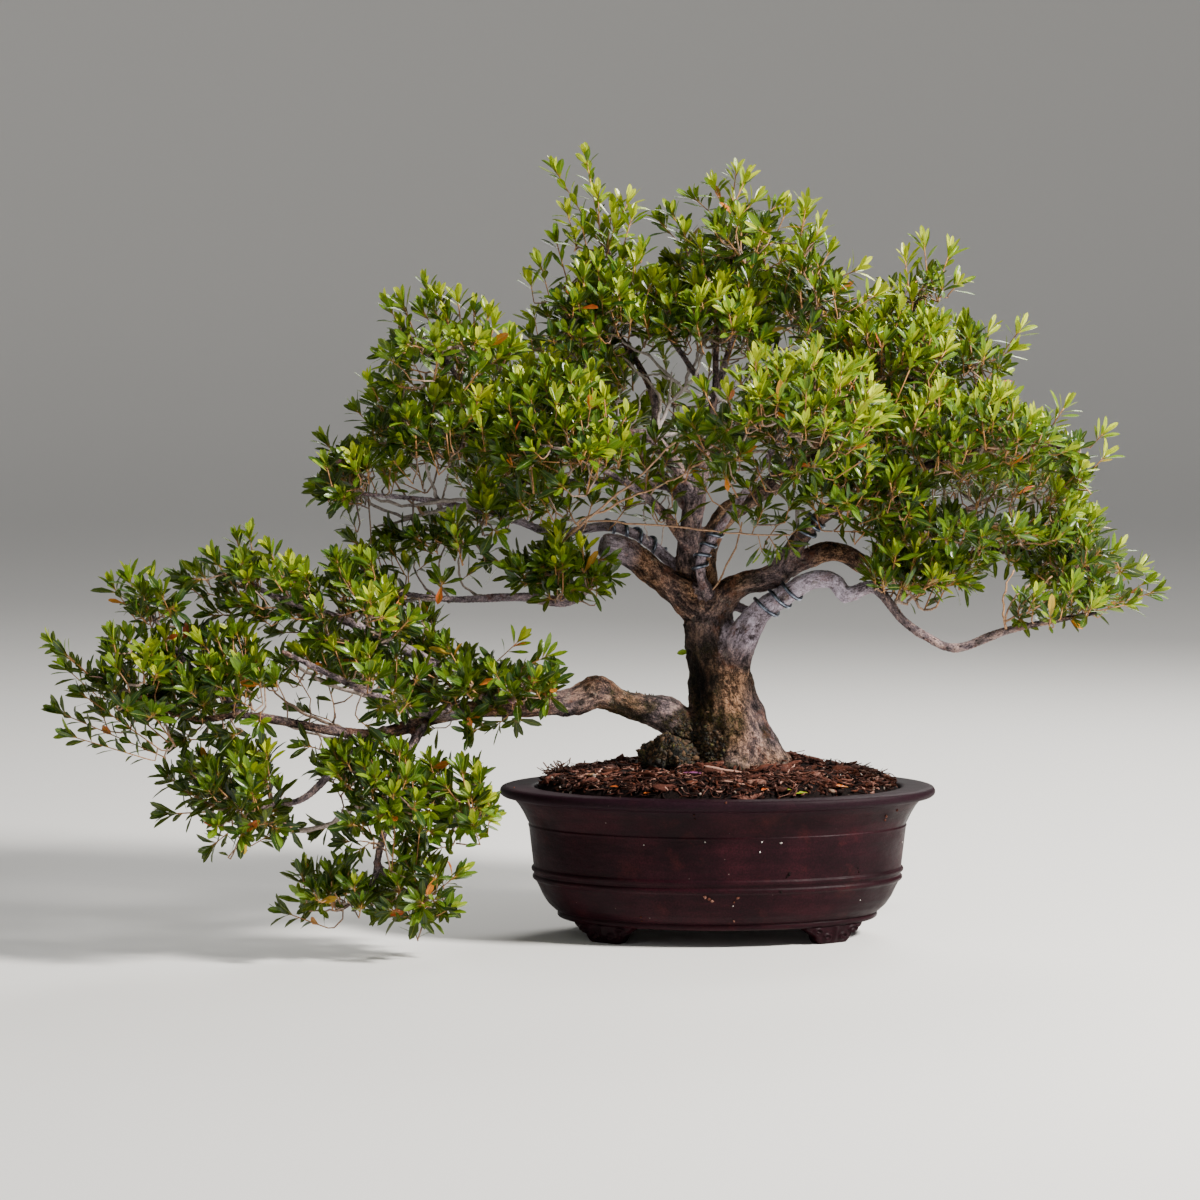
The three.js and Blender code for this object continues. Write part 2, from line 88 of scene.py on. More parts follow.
def seen_pixels(places):
    """Where places fall in the view."""
    way = np.asarray(places) - CAMERA_PLACE
    ahead = way[..., 1] * math.cos(PITCH) - way[..., 2] * math.sin(PITCH)
    above = way[..., 1] * math.sin(PITCH) + way[..., 2] * math.cos(PITCH)
    return np.stack([MIDDLE + ZOOM * way[..., 0] / ahead, MIDDLE - ZOOM * above / ahead], axis=-1)


def seen_way(u, v):
    """The direction from the camera through the pixel (u, v) of the view."""
    right, above = (u - MIDDLE) / ZOOM, (MIDDLE - v) / ZOOM
    forward, upward = math.cos(PITCH), math.sin(PITCH)
    return np.array([right, forward + above * upward, above * forward - upward])


def seen_place(u, v, y):
    """The place on the plane at y that falls on the pixel (u, v) of the view."""
    way = seen_way(u, v)
    return np.array(CAMERA_PLACE) + way * (y - CAMERA_PLACE[1]) / way[1]


def seen_on(surface, u, v, lift):
    """The place seen on a surface at the pixel (u, v), `lift` metres above it, or None."""
    place, way, _, _ = surface.ray_cast(CAMERA_PLACE, seen_way(u, v))
    return None if place is None else np.array(place) + lift * np.array(way)


# ---------------------------------------------------------------- the limbs

# Each row is a place on a limb's centre line and the limb's radius there, in millimetres from the
# middle of the pot's base: [x, y, z, radius].
TRUNK = [
    [20, 4, 122, 64], [18, 4, 140, 57], [13, 3, 160, 48], [11, 2, 188, 40], [5, 1, 221, 32.5],
    [2, 0, 250, 26.5], [-5, 0, 273, 24], [-9, 0, 297, 24], [-16, 0, 316, 18],
]
LIMBS = {
    "root_right": [
        [8, -2, 244, 15], [24, -6, 212, 16], [39, -10, 184, 17], [56, -14, 162, 13], [84, -22, 143, 5],
    ],
    "root_front": [[12, -25, 162, 16], [16, -62, 148, 7]],
    "root_left": [[-15, -10, 165, 18], [-58, -34, 154, 9], [-82, -44, 142, 5]],
    "root_back": [[18, 20, 164, 18], [34, 64, 148, 7]],
    "first_left": [
        [-14, 0, 180, 17], [-47, -16, 208, 16], [-81, -30, 218, 12], [-98, -37, 225, 12.5],
        [-114, -44, 233, 15], [-131, -52, 225, 12.5], [-177, -70, 222, 9.5],
        [-241, -100, 220, 7.5], [-315, -135, 203, 5.5], [-356, -150, 208, 4.5],
        [-430, -182, 225, 3.6], [-474, -200, 224, 3], [-552, -220, 256, 2],
    ],
    "cascade_tuft": [[-430, -182, 225, 3.2], [-478, -192, 268, 2.8], [-514, -196, 318, 2]],
    "cascade_rise": [
        [-200, -80, 222, 7], [-250, -96, 256, 5.5], [-339, -122, 304, 4], [-424, -145, 340, 2.8],
        [-434, -150, 360, 2],
    ],
    "cascade_face": [
        [-236, -98, 218, 5.5], [-275, -130, 223, 4.4], [-333, -165, 250, 3.4],
        [-396, -186, 283, 2.2],
    ],
    "cascade_drop": [
        [-271, -114, 212, 5.2], [-290, -138, 175, 4.4], [-311, -156, 99, 3.2],
        [-318, -158, 68, 2.7], [-344, -158, 46, 2],
    ],
    "cascade_foot": [[-314, -157, 88, 2.8], [-294, -155, 66, 2.5], [-272, -150, 52, 2]],
    "cascade_side": [[-290, -138, 175, 3.4], [-264, -138, 154, 2.8], [-240, -135, 128, 2]],
    "cascade_low": [
        [-308, -132, 206, 4.6], [-351, -158, 173, 3.8], [-382, -172, 147, 3.2],
        [-446, -182, 140, 2],
    ],
    "cascade_back": [[-234, -97, 220, 5], [-273, -55, 236, 4.2], [-317, -28, 252, 2.6]],
    "upper_left": [
        [-10, 0, 302, 20], [-32, -5, 321, 15.5], [-55, -12, 338, 13], [-87, -24, 362, 12],
        [-107, -30, 368, 11],
    ],
    "left_wired": [
        [-22, 6, 316, 6], [-38, 14, 343, 5.6], [-52, 13, 358, 5.2], [-69, 9, 372, 4.8],
        [-87, 3, 381, 4.6], [-105, -5, 385, 4.4], [-156, -31, 381, 4], [-192, -42, 394, 3.6],
        [-259, -62, 411, 2.8], [-338, -78, 420, 2],
    ],
    "left_hang": [[-148, -28, 381, 3.4], [-156, -44, 362, 2.8], [-156, -54, 346, 2]],
    "left_lower": [
        [-96, -24, 360, 7], [-113, -10, 344, 7], [-127, -4, 327, 7.5], [-141, -8, 316, 5.5],
        [-183, -22, 320, 4.6], [-248, -52, 320, 3.4], [-298, -74, 328, 2.1],
    ],
    "leader": [
        [-16, 3, 306, 17], [-25, 8, 337, 12.5], [-27, 10, 366, 11.5], [-19, 14, 420, 9],
        [-12, 14, 448, 5.6], [-3, 10, 508, 3.6], [-1, 12, 560, 2.8], [16, 20, 650, 2],
    ],
    "apex_left_stem": [
        [-4, 10, 500, 3.4], [-45, 6, 561, 2.9], [-86, 6, 606, 2.4], [-104, 8, 645, 2],
    ],
    "centre_wired": [
        [-6, -10, 318, 6], [-16, -20, 339, 5.2], [-16, -22, 357, 5], [-7, -20, 372, 4.8],
        [3, -20, 388, 4.4], [18, -30, 409, 4], [37, -60, 440, 3.4], [52, -105, 470, 2.8],
        [60, -132, 487, 2],
    ],
    "centre_right": [
        [-12, 8, 316, 13], [-13, 14, 352, 10.5], [-5, 17, 376, 10], [9, 19, 396, 9.7],
        [28, 22, 407, 9], [78, 32, 440, 6.4], [125, 34, 502, 4.2], [153, 28, 559, 2],
    ],
    "right_shoulder_stem": [[125, 34, 502, 3.4], [188, 28, 524, 2.8], [246, 22, 537, 2]],
    "right_tuft_stem": [[125, 34, 502, 3.6], [180, 40, 577, 2.6], [201, 42, 620, 2]],
    "apex_right_stem": [[72, 31, 434, 4.6], [89, 20, 526, 3.3], [98, 12, 602, 2]],
    "right_main": [
        [-6, -4, 304, 17], [11, -9, 324, 12.5], [26, -12, 332, 11], [44, -15, 336, 11.5],
        [57, -16, 340, 12],
    ],
    "right_rise": [
        [54, -16, 339, 11], [66, -17, 359, 9], [87, -22, 388, 7.2], [104, -25, 400, 6.4],
        [168, -38, 434, 4.5], [264, -50, 462, 3], [334, -46, 460, 2],
    ],
    "right_front_twig": [[100, -24, 398, 3.6], [122, -52, 412, 2.8], [138, -74, 420, 2]],
    "right_arch": [
        [52, -16, 339, 10.5], [79, -11, 353, 9.6], [102, -6, 361, 9.6], [120, -1, 358, 9.2],
        [155, 10, 339, 7], [183, 14, 341, 5.8], [266, 14, 361, 4], [353, -8, 344, 2.2],
    ],
    "right_middle_twig": [[221, 15, 351, 3.6], [238, -4, 372, 2.8], [250, -18, 388, 2]],
    "right_pale": [
        [14, -8, 250, 14], [24, -19, 284, 15.5], [37, -26, 304, 12], [64, -32, 324, 9.2],
        [87, -38, 337, 8.6], [107, -42, 336, 7.2], [118, -45, 324, 7.4], [143, -51, 331, 5.8],
        [170, -62, 301, 4.2], [192, -70, 286, 4.1], [216, -78, 277, 4.2], [264, -89, 294, 3.6],
        [345, -98, 311, 2],
    ],
    "right_bridge": [[14, -2, 311, 5], [30, -8, 306, 4.2], [46, -22, 311, 4.4]],
    "left_crown_limb": [
        [-23, 14, 409, 8], [-43, 4, 445, 6.8], [-62, -4, 468, 6], [-92, -12, 472, 5.2],
        [-155, -32, 470, 4.1], [-222, -55, 503, 3.1], [-265, -84, 562, 2],
    ],
    "left_shoulder_stem": [[-155, -32, 470, 3.4], [-217, -50, 479, 2.7], [-252, -58, 477, 2]],
    "apex_back_left": [
        [-62, -4, 468, 4.4], [-59, 8, 501, 3.8], [-97, 12, 567, 2.5], [-121, 8, 580, 2],
    ],
    "left_front_limb": [
        [-29, 6, 366, 5.5], [-50, -30, 397, 4.5], [-83, -70, 427, 3.6], [-152, -105, 465, 2],
    ],
    "back_left_limb": [
        [-24, 14, 398, 7], [-46, 56, 423, 5.6], [-80, 98, 454, 4.4], [-150, 152, 490, 2.2],
    ],
    "back_low_left_limb": [
        [-44, 54, 420, 4.6], [-104, 70, 424, 3.8], [-172, 84, 422, 3], [-236, 96, 425, 2],
    ],
    "back_centre_limb": [
        [-19, 16, 448, 5.6], [-14, 70, 463, 4.8], [-10, 120, 478, 3.8], [-11, 168, 492, 2.6],
    ],
    "back_crown_limb": [[-14, 70, 463, 4.2], [4, 84, 520, 3.4], [24, 112, 585, 2]],
    "back_right_limb": [
        [34, 24, 410, 6.4], [56, 66, 429, 5.4], [92, 110, 451, 4.4], [145, 158, 475, 2.2],
    ],
    "far_right_limb": [
        [155, 10, 340, 5], [189, 52, 363, 4.2], [231, 96, 389, 3.4], [274, 125, 408, 2.3],
    ],
}
# How pale the bark of a limb is: 0 is the trunk's brown, and from 1 on it is pale all over.
PALENESS = {
    "first_left": 0.12, "cascade_rise": 0.5, "right_pale": 1.1, "left_wired": 0.95,
    "centre_wired": 0.85, "left_lower": 0.5, "apex_left_stem": 0.6, "leader": 0.25,
}
CUT_END = [-114, -33, 368]  # where the upper left limb was cut off
MOSS_TOP = (664, 750)  # the top of the moss cushion, in the view
MOSSY = (694, 748)  # middle, in the view, of the moss on the trunk
# Knots in the bark: pixel, the radius of the swollen ring, its height, and the hollow's radius and
# depth, in millimetres.
KNOTS = [
    ((751, 637), 9.0, 3.2, 3.0, 3.4), ((740, 633), 5.0, 1.6, 1.6, 0.4), ((758, 627), 3.0, 1.0, 1.4, 1.6),
    ((745, 668), 6.0, 2.0, 2.6, 2.8), ((595, 690), 8.0, 2.0, 2.4, 1.0), ((653, 702), 7.0, 1.8, 1.5, 0.6),
    ((566, 714), 6.0, 2.4, 3.0, 3.0), ((712, 694), 5.0, 1.4, 2.0, 1.6),
]
# Training wires: the limb that each one is wound on, the rows it runs between, and its turns.
WIRES = {
    "training_wire_left": ("left_wired", 2, 5, 4),
    "training_wire_centre": ("centre_wired", 1.2, 3.6, 4),
    "training_wire_right_low": ("right_pale", 2.15, 3.4, 3),
    "training_wire_right_high": ("right_rise", 1.6, 2.45, 3),
}

pot_low, pot_high = (np.array(corner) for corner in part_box("pot"))
POT_CENTRE = np.array([*(pot_low + pot_high)[:2] / 2, 0])


def placed(millimetres):
    """Millimetres from the middle of the pot's base as metres in the model's frame."""
    return np.asarray(millimetres, float) * MM + POT_CENTRE


# ---------------------------------------------------------------- helpers for shapes


def unit(vectors):
    """The vectors at length 1."""
    return vectors / np.maximum(np.linalg.norm(vectors, axis=-1, keepdims=True), 1e-12)


def grey(values):
    """The same number three times for each value, as a tint."""
    return np.repeat(values[:, None], 3, axis=1)


def first_only(values):
    """Tints that hold the value first and then two zeros."""
    return np.stack([values, 0 * values, 0 * values], axis=-1)


def lattice(cell, seed):
    """A number from 0 to 1 for each whole-number point, always the same for the same point."""
    mixed = cell[:, 0] * 73856093 ^ cell[:, 1] * 19349663 ^ cell[:, 2] * 83492791 ^ seed * 961748927
    mixed = (mixed ^ (mixed >> 15)) * 2246822519 & 0xFFFFFFFF
    mixed = (mixed ^ (mixed >> 13)) * 3266489917 & 0xFFFFFFFF
    return ((mixed ^ (mixed >> 16)) & 0xFFFFFF) / 0xFFFFFF


def noise(points, size, seed=0, octaves=2):
    """Smooth noise of about -1 to 1 at each point, with lumps of the given size in metres."""
    total = np.zeros(len(points))
    for octave in range(octaves):
        spot = points / size * 2**octave + 17.3 * seed
        cell = np.floor(spot).astype(np.int64)
        part = spot - cell
        part = part * part * (3 - 2 * part)
        value = np.zeros(len(points))
        for corner in np.ndindex(2, 2, 2):
            share = np.prod(np.where(corner, part, 1 - part), axis=1)
            value += share * lattice(cell + np.array(corner), seed + octave)
        total += (2 * value - 1) / 2**octave
    return total


def curve_at(rows, at):
    """Places on the smooth curve through the rows, and radii; `at` counts rows from the first."""
    rows = np.asarray(rows, float)
    at = np.asarray(at, float)
    places = rows[:, :3]
    ends = np.vstack([2 * places[0] - places[1], places, 2 * places[-1] - places[-2]])
    row = np.clip(at.astype(int), 0, len(rows) - 2)
    part = (at - row)[:, None]
    a, b, c, d = (ends[row + step] for step in range(4))
    before, here, after = (
        np.sqrt(np.linalg.norm(q - p, axis=1, keepdims=True)) for p, q in ((a, b), (b, c), (c, d))
    )
    start = here * ((b - a) / before - (c - a) / (before + here) + (c - b) / here)
    stop = here * ((c - b) / here - (d - b) / (here + after) + (d - c) / after)
    bend = -3 * b + 3 * c - 2 * start - stop
    place = b + part * start + part**2 * bend + part**3 * (2 * b - 2 * c + start + stop)
    radius = rows[row, 3] * (1 - part[:, 0]) + rows[row + 1, 3] * part[:, 0]
    return placed(place), radius * MM


def limb_line(rows, spacing):
    """The limb's centre line in steps of about `spacing` metres."""
    even = np.linspace(0, len(rows) - 1, 12 * len(rows))
    places, _ = curve_at(rows, even)
    length = np.r_[0, np.cumsum(np.linalg.norm(np.diff(places, axis=0), axis=1))]
    steps = max(4, int(length[-1] / spacing))
    return curve_at(rows, np.interp(np.linspace(0, length[-1], steps + 1), length, even))


def carried_frames(paths):
    """Directions along and across each path, carried along it without twist."""
    along = unit(np.gradient(paths, axis=1))
    across = np.empty_like(paths)
    carried = np.broadcast_to(np.array([0.4, 0.5, 0.8]), paths[:, 0].shape)
    for ring in range(paths.shape[1]):
        carried = unit(carried - along[:, ring] * np.sum(carried * along[:, ring], 1)[:, None])
        across[:, ring] = carried
    return along, across, np.cross(along, across)


def ring_faces(*shape):
    """Quads between closed rings of points, and a cap on the first and the last ring. The points
    are in rows of (ring, side), or (tube, ring, side) for many tubes."""
    index = np.arange(math.prod(shape)).reshape(shape)
    following = np.roll(index, -1, axis=-1)
    corners = [index[..., :-1, :], following[..., :-1, :], following[..., 1:, :], index[..., 1:, :]]
    ends = [end.reshape(-1, shape[-1]) for end in (index[..., 0, ::-1], index[..., -1, :])]
    return np.stack(corners, axis=-1).reshape(-1, 4), np.concatenate(ends)


def turned_over(quads, caps):
    """The same faces, made to face the other way."""
    return quads[:, [0, 3, 2, 1]], caps[:, ::-1]


def oval_rings(profile, ovalness, sides):
    """Rings of points from rows of half length and height; `ovalness` is width over length."""
    angle = 2 * np.pi * np.arange(sides) / sides
    reach, height = np.asarray(profile, float).T[..., None]
    x, y = reach * np.cos(angle), reach * np.sin(angle) * ovalness
    return np.stack([x, y, np.broadcast_to(height, x.shape)], axis=-1)


def tubes(paths, radii, sides, flat=1.0, turn=0.0):
    """Closed tubes, from paths of shape (tube, ring, 3): points of shape (tube, ring, side, 3) and
    faces. `flat` is the section's thickness as a share of its width."""
    paths = np.asarray(paths, float)
    _, across, beside = carried_frames(paths)
    count, rings = paths.shape[:2]
    angle = 2 * np.pi * np.arange(sides) / sides
    turned = np.broadcast_to(np.asarray(turn, float), (count,))[:, None, None]
    wide = np.cos(turned) * across + np.sin(turned) * beside
    thin = np.cos(turned) * beside - np.sin(turned) * across
    radii = np.broadcast_to(radii, (count, rings))[:, :, None, None]
    points = paths[:, :, None] + radii * (
        np.cos(angle)[:, None] * wide[:, :, None] + flat * np.sin(angle)[:, None] * thin[:, :, None]
    )
    return points, ring_faces(count, rings, sides)


def read_vectors(items, field):
    """Three numbers for each item of a mesh, as rows."""
    flat = np.empty(3 * len(items), np.float32)
    items.foreach_get(field, flat)
    return flat.reshape(-1, 3).astype(float)


def vertices_of(mesh):
    return read_vectors(mesh.vertices, "co")


def normals_of(mesh):
    return read_vectors(mesh.vertex_normals, "vector")


def move_vertices(mesh, points):
    """Puts the mesh's vertices at the points."""
    mesh.vertices.foreach_set("co", points.astype(np.float32).ravel())


def write_vectors(mesh, **layers):
    """Stores three numbers for each point of the mesh under each name."""
    for title, rows in layers.items():
        layer = mesh.attributes.get(title) or mesh.attributes.new(title, "FLOAT_VECTOR", "POINT")
        layer.data.foreach_set("vector", rows.astype(np.float32).ravel())


class Pile:
    """Points and faces gathered for one mesh. Each point has a tint and a spot, which are three
    numbers that the piece's finish reads."""

    def __init__(self):
        self.points, self.faces, self.tints, self.spots, self.count = [], [], [], [], 0

    def add(self, points, faces, tints=(0, 0, 0), spots=(0, 0, 0)):
        shape = points.shape
        self.faces += [np.asarray(face) + self.count for face in faces]
        self.points.append(points.reshape(-1, 3))
        self.tints.append(np.broadcast_to(tints, shape).reshape(-1, 3))
        self.spots.append(np.broadcast_to(spots, shape).reshape(-1, 3))
        self.count += self.points[-1].shape[0]

    def piece(self, name, finish, slot, *nodes):
        """The pile as one object that rides on the tree and stands for the given CAD nodes."""
        mesh = bpy.data.meshes.new(name)
        corners = [corner for block in self.faces for corner in block.tolist()]
        mesh.from_pydata(np.concatenate(self.points), [], corners)
        write_vectors(mesh, tint=np.concatenate(self.tints), spot=np.concatenate(self.spots))
        mesh.shade_smooth()
        return ridden(bpy.data.objects.new(name, mesh), finish, slot, *nodes)


def ridden(piece, finish, slot, *nodes):
    """Gives the piece its finish, ties it to the tree and hides the nodes it stands for."""
    if piece.name not in bpy.context.scene.collection.objects:
        bpy.context.scene.collection.objects.link(piece)
    piece.data.materials.clear()
    piece.data.materials.append(finish)
    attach(piece, "root")
    if nodes:
        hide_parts(*nodes)
    return piece


def applied(piece, kind, **options):
    """Changes the piece's mesh by one modifier and gives the new mesh."""
    modifier = piece.modifiers.new(kind.lower(), kind)
    for option, value in options.items():
        setattr(modifier, option, value)
    graph = bpy.context.evaluated_depsgraph_get()
    mesh = bpy.data.meshes.new_from_object(piece.evaluated_get(graph))
    piece.modifiers.clear()
    piece.data = mesh
    return mesh


def surface_of(piece):
    """The piece's surface, to cast rays at."""
    corners = [tuple(corner) for corner in vertices_of(piece.data)]
    return BVHTree.FromPolygons(corners, [tuple(face.vertices) for face in piece.data.polygons])


# ---------------------------------------------------------------- helpers for finishes


class Finish:
    """A procedural material, with short calls for its nodes."""

    def __init__(self, name):
        self.material = bpy.data.materials.new(name)
        self.material.use_nodes = True
        self.tree = self.material.node_tree
        self.surface = self.tree.nodes["Principled BSDF"]
        self.place = self.node("ShaderNodeTexCoord").outputs["Object"]

    def node(self, kind, values=None, **options):
        made = self.tree.nodes.new(kind)
        for option, value in options.items():
            setattr(made, option, value)
        for socket, value in (values or {}).items():
            self.put(made.inputs[socket], value)
        return made

    def put(self, socket, value):
        if isinstance(value, bpy.types.NodeSocket):
            self.tree.links.new(value, socket)
        elif isinstance(value, tuple) and len(value) == 3 and socket.type == "RGBA":
            socket.default_value = (*value, 1)
        else:
            socket.default_value = value

    def set(self, **values):
        for socket, value in values.items():
            self.put(self.surface.inputs[socket.replace("_", " ")], value)

    def attribute(self, title, part=None):
        read = self.node("ShaderNodeAttribute", attribute_name=title)
        if part is None:
            return read.outputs["Vector"]
        return self.node("ShaderNodeSeparateXYZ", {0: read.outputs["Vector"]}).outputs[part]

    def noise(self, size, detail=3.0, rough=0.55, place=None, stretch=None):
        """Noise from 0 to 1 with lumps of the given size in metres."""
        at = self.place if place is None else place
        if stretch:
            at = self.node("ShaderNodeMapping", {"Vector": at, "Scale": stretch}).outputs[0]
        values = {"Vector": at, "Scale": 1 / size, "Detail": detail, "Roughness": rough}
        return self.node("ShaderNodeTexNoise", values).outputs[0]

    def cells(self, size, place=None):
        """Distance from the nearest of many scattered spots, as a share of their spacing."""
        at = self.place if place is None else place
        return self.node("ShaderNodeTexVoronoi", {"Vector": at, "Scale": 1 / size}).outputs[0]

    def ramp(self, value, *stops):
        """Grey levels or colours between (place, colour) stops."""
        made = self.node("ShaderNodeValToRGB", {0: value})
        while len(made.color_ramp.elements) < len(stops):
            made.color_ramp.elements.new(0.5)
        for element, (place, colour) in zip(made.color_ramp.elements, stops):
            element.position = place
            if not isinstance(colour, tuple):
                colour = (colour, colour, colour)
            element.color = (*colour, 1)
        return made.outputs[0]

    def maths(self, operation, a, b=0.0):
        return self.node("ShaderNodeMath", {0: a, 1: b}, operation=operation).outputs[0]

    def times(self, a, b):
        return self.maths("MULTIPLY", a, b)

    def weighted(self, *parts):
        """The sum of values, each times its share."""
        total, *others = [self.times(value, share) for value, share in parts]
        for part in others:
            total = self.maths("ADD", total, part)
        return total

    def mix(self, share, a, b, blend="MIX"):
        values = {0: share, 6: a, 7: b}
        made = self.node("ShaderNodeMix", values, data_type="RGBA", blend_type=blend)
        return made.outputs[2]

    def bump(self, height, distance, strength=1.0, under=None):
        values = {"Height": height, "Distance": distance, "Strength": strength}
        if under is not None:
            values["Normal"] = under
        return self.node("ShaderNodeBump", values).outputs[0]


# ---------------------------------------------------------------- finishes


def clay_finish():
    f = Finish("pot_clay")
    cloud = f.noise(0.06, 4)
    streak = f.noise(0.02, 4, stretch=(0.25, 0.25, 2.5))
    base = f.ramp(
        f.weighted((cloud, 0.65), (streak, 0.35)), (0.3, (0.0045, 0.0008, 0.0018)),
        (0.5, (0.012, 0.0018, 0.0040)), (0.72, (0.031, 0.0046, 0.0085)),
    )
    rust = f.ramp(f.noise(0.045, 5, 0.65), (0.56, 0.0), (0.72, 1.0))
    base = f.mix(f.times(rust, 0.5), base, (0.056, 0.0085, 0.0090))
    grit = f.ramp(f.noise(0.0016, 2), (0.35, 0.6), (0.7, 1.25))
    base = f.mix(1.0, base, grit, "MULTIPLY")
    dusty = f.ramp(f.noise(0.03, 2), (0.52, 0.0), (0.64, 1.0))
    specks = f.times(f.ramp(f.cells(0.011), (0.030, 1.0), (0.050, 0.0)), dusty)
    base = f.mix(specks, base, (0.26, 0.20, 0.18))
    # The lip begins 124 mm above the ground; it is more matt, and its colour is darker and cooler there
    # as a painted dark reflection.
    high = f.node("ShaderNodeSeparateXYZ", {0: f.place}).outputs["Z"]
    lip = f.times(f.ramp(f.times(high, 5.0), (0.62, 0.0), (0.66, 1.0)), 0.75)
    lip_painted_reflection = f.mix(1.0, (0.012, 0.0036, 0.0075), grit, "MULTIPLY")
    f.set(Base_Color=f.mix(lip, base, lip_painted_reflection))
    rough = f.ramp(f.noise(0.025, 5, 0.6), (0.3, 0.38), (0.7, 0.6))
    rough = f.mix(lip, rough, (0.6, 0.6, 0.6))
    f.set(Roughness=f.mix(specks, rough, (0.9, 0.9, 0.9)), Specular_IOR_Level=0.085)
    fine = f.bump(f.noise(0.0012, 3), 0.00012)
    f.set(Normal=f.bump(f.noise(0.007, 4, stretch=(0.5, 0.5, 1.6)), 0.0005, under=fine))
    return f.material


def bark_finish():
    """tint holds the surface's height, which also paints shade in low places, how pale the limb is and
    how mossy the place is, moss partly standing in for painted shade; spot holds painted shade on the
    trunk's shaded side."""
    f = Finish("trunk_bark")
    grain = f.attribute("grain")
    height = f.attribute("tint", "X")
    pale = f.attribute("tint", "Y")
    moss_and_shade = f.attribute("tint", "Z")
    fleck = f.noise(0.0027, 5, 0.9, grain)
    grit = f.noise(0.0016, 3, 0.8)
    lump = f.noise(0.0065, 4, 0.75, grain)
    # Low places of the relief are coloured darker and raised ones lighter: painted shade in the furrows.
    raised = f.maths("SUBTRACT", height, 0.5)
    level = f.weighted((fleck, 0.55), (lump, 0.12), (grit, 0.33), (raised, 0.19))
    brown = f.ramp(
        level, (0.40, (0.002, 0.0012, 0.0008)), (0.46, (0.018, 0.0095, 0.0055)),
        (0.525, (0.098, 0.050, 0.029)), (0.61, (0.50, 0.275, 0.155)),
    )
    light = f.ramp(
        level, (0.36, (0.045, 0.033, 0.038)), (0.44, (0.20, 0.158, 0.185)),
        (0.51, (0.49, 0.41, 0.50)), (0.60, (0.80, 0.69, 0.84)),
    )
    base = f.mix(pale, brown, light)
    rust = f.ramp(f.noise(0.024, 5, 0.75), (0.54, 0.0), (0.66, 1.0))
    base = f.mix(f.times(rust, 0.5), base, (0.23, 0.078, 0.034))
    olive = f.ramp(f.noise(0.045, 3, 0.6), (0.48, 0.0), (0.66, 1.0))
    base = f.mix(f.times(olive, 0.25), base, (0.060, 0.050, 0.022))
    lichen = f.ramp(f.noise(0.010, 4, 0.75), (0.60, 0.0), (0.65, 1.0))
    base = f.mix(f.times(lichen, 0.25), base, (0.36, 0.33, 0.26))
    # Pits are darkened to near black, less on pale limbs: painted shade in the hollows.
    pit = f.ramp(f.cells(0.0036, grain), (0.10, 1.0), (0.26, 0.0))
    deep = f.times(pit, f.maths("SUBTRACT", 0.8, f.times(pale, 0.5)))
    base = f.mix(deep, base, (0.010, 0.008, 0.006))
    # Painted shade: the trunk's side away from the key light is darkened.
    painted_shade = f.times(f.attribute("spot", "X"), 0.86)
    base = f.mix(painted_shade, base, f.mix(1.0, base, (0.10, 0.10, 0.095), "MULTIPLY"))
    # Mossy places turn near black to dark olive: moss, and partly painted shade on the trunk's foot.
    algae = f.noise(0.003, 4, 0.75)
    green = f.ramp(algae, (0.42, (0.002, 0.002, 0.001)), (0.66, (0.060, 0.054, 0.009)))
    f.set(Base_Color=f.mix(moss_and_shade, base, green))
    f.set(Roughness=f.ramp(level, (0.38, 0.95), (0.64, 0.7)), Specular_IOR_Level=0.16)
    tiny = f.bump(grit, 0.0013, under=f.bump(fleck, 0.0020))
    pitted = f.bump(pit, -0.0018, under=tiny)
    f.set(Normal=f.bump(lump, 0.0036, under=pitted))
    return f.material


def twig_finish():
    """Young shoots are red-brown to orange by tint X, older twigs grey, the palest by tint Y."""
    f = Finish("twig_bark")
    fleck = f.noise(0.002, 3, 0.6)
    grey_bark = f.ramp(fleck, (0.3, (0.075, 0.058, 0.050)), (0.7, (0.36, 0.30, 0.27)))
    red_bark = f.ramp(fleck, (0.3, (0.16, 0.058, 0.020)), (0.7, (0.56, 0.27, 0.075)))
    bleached = f.ramp(fleck, (0.3, (0.27, 0.22, 0.21)), (0.7, (0.60, 0.52, 0.50)))
    base = f.mix(f.attribute("tint", "X"), grey_bark, red_bark)
    f.set(Base_Color=f.mix(f.attribute("tint", "Y"), base, bleached))
    f.set(Roughness=f.ramp(fleck, (0.3, 0.75), (0.7, 0.5)))
    f.set(Normal=f.bump(fleck, 0.0003))
    return f.material


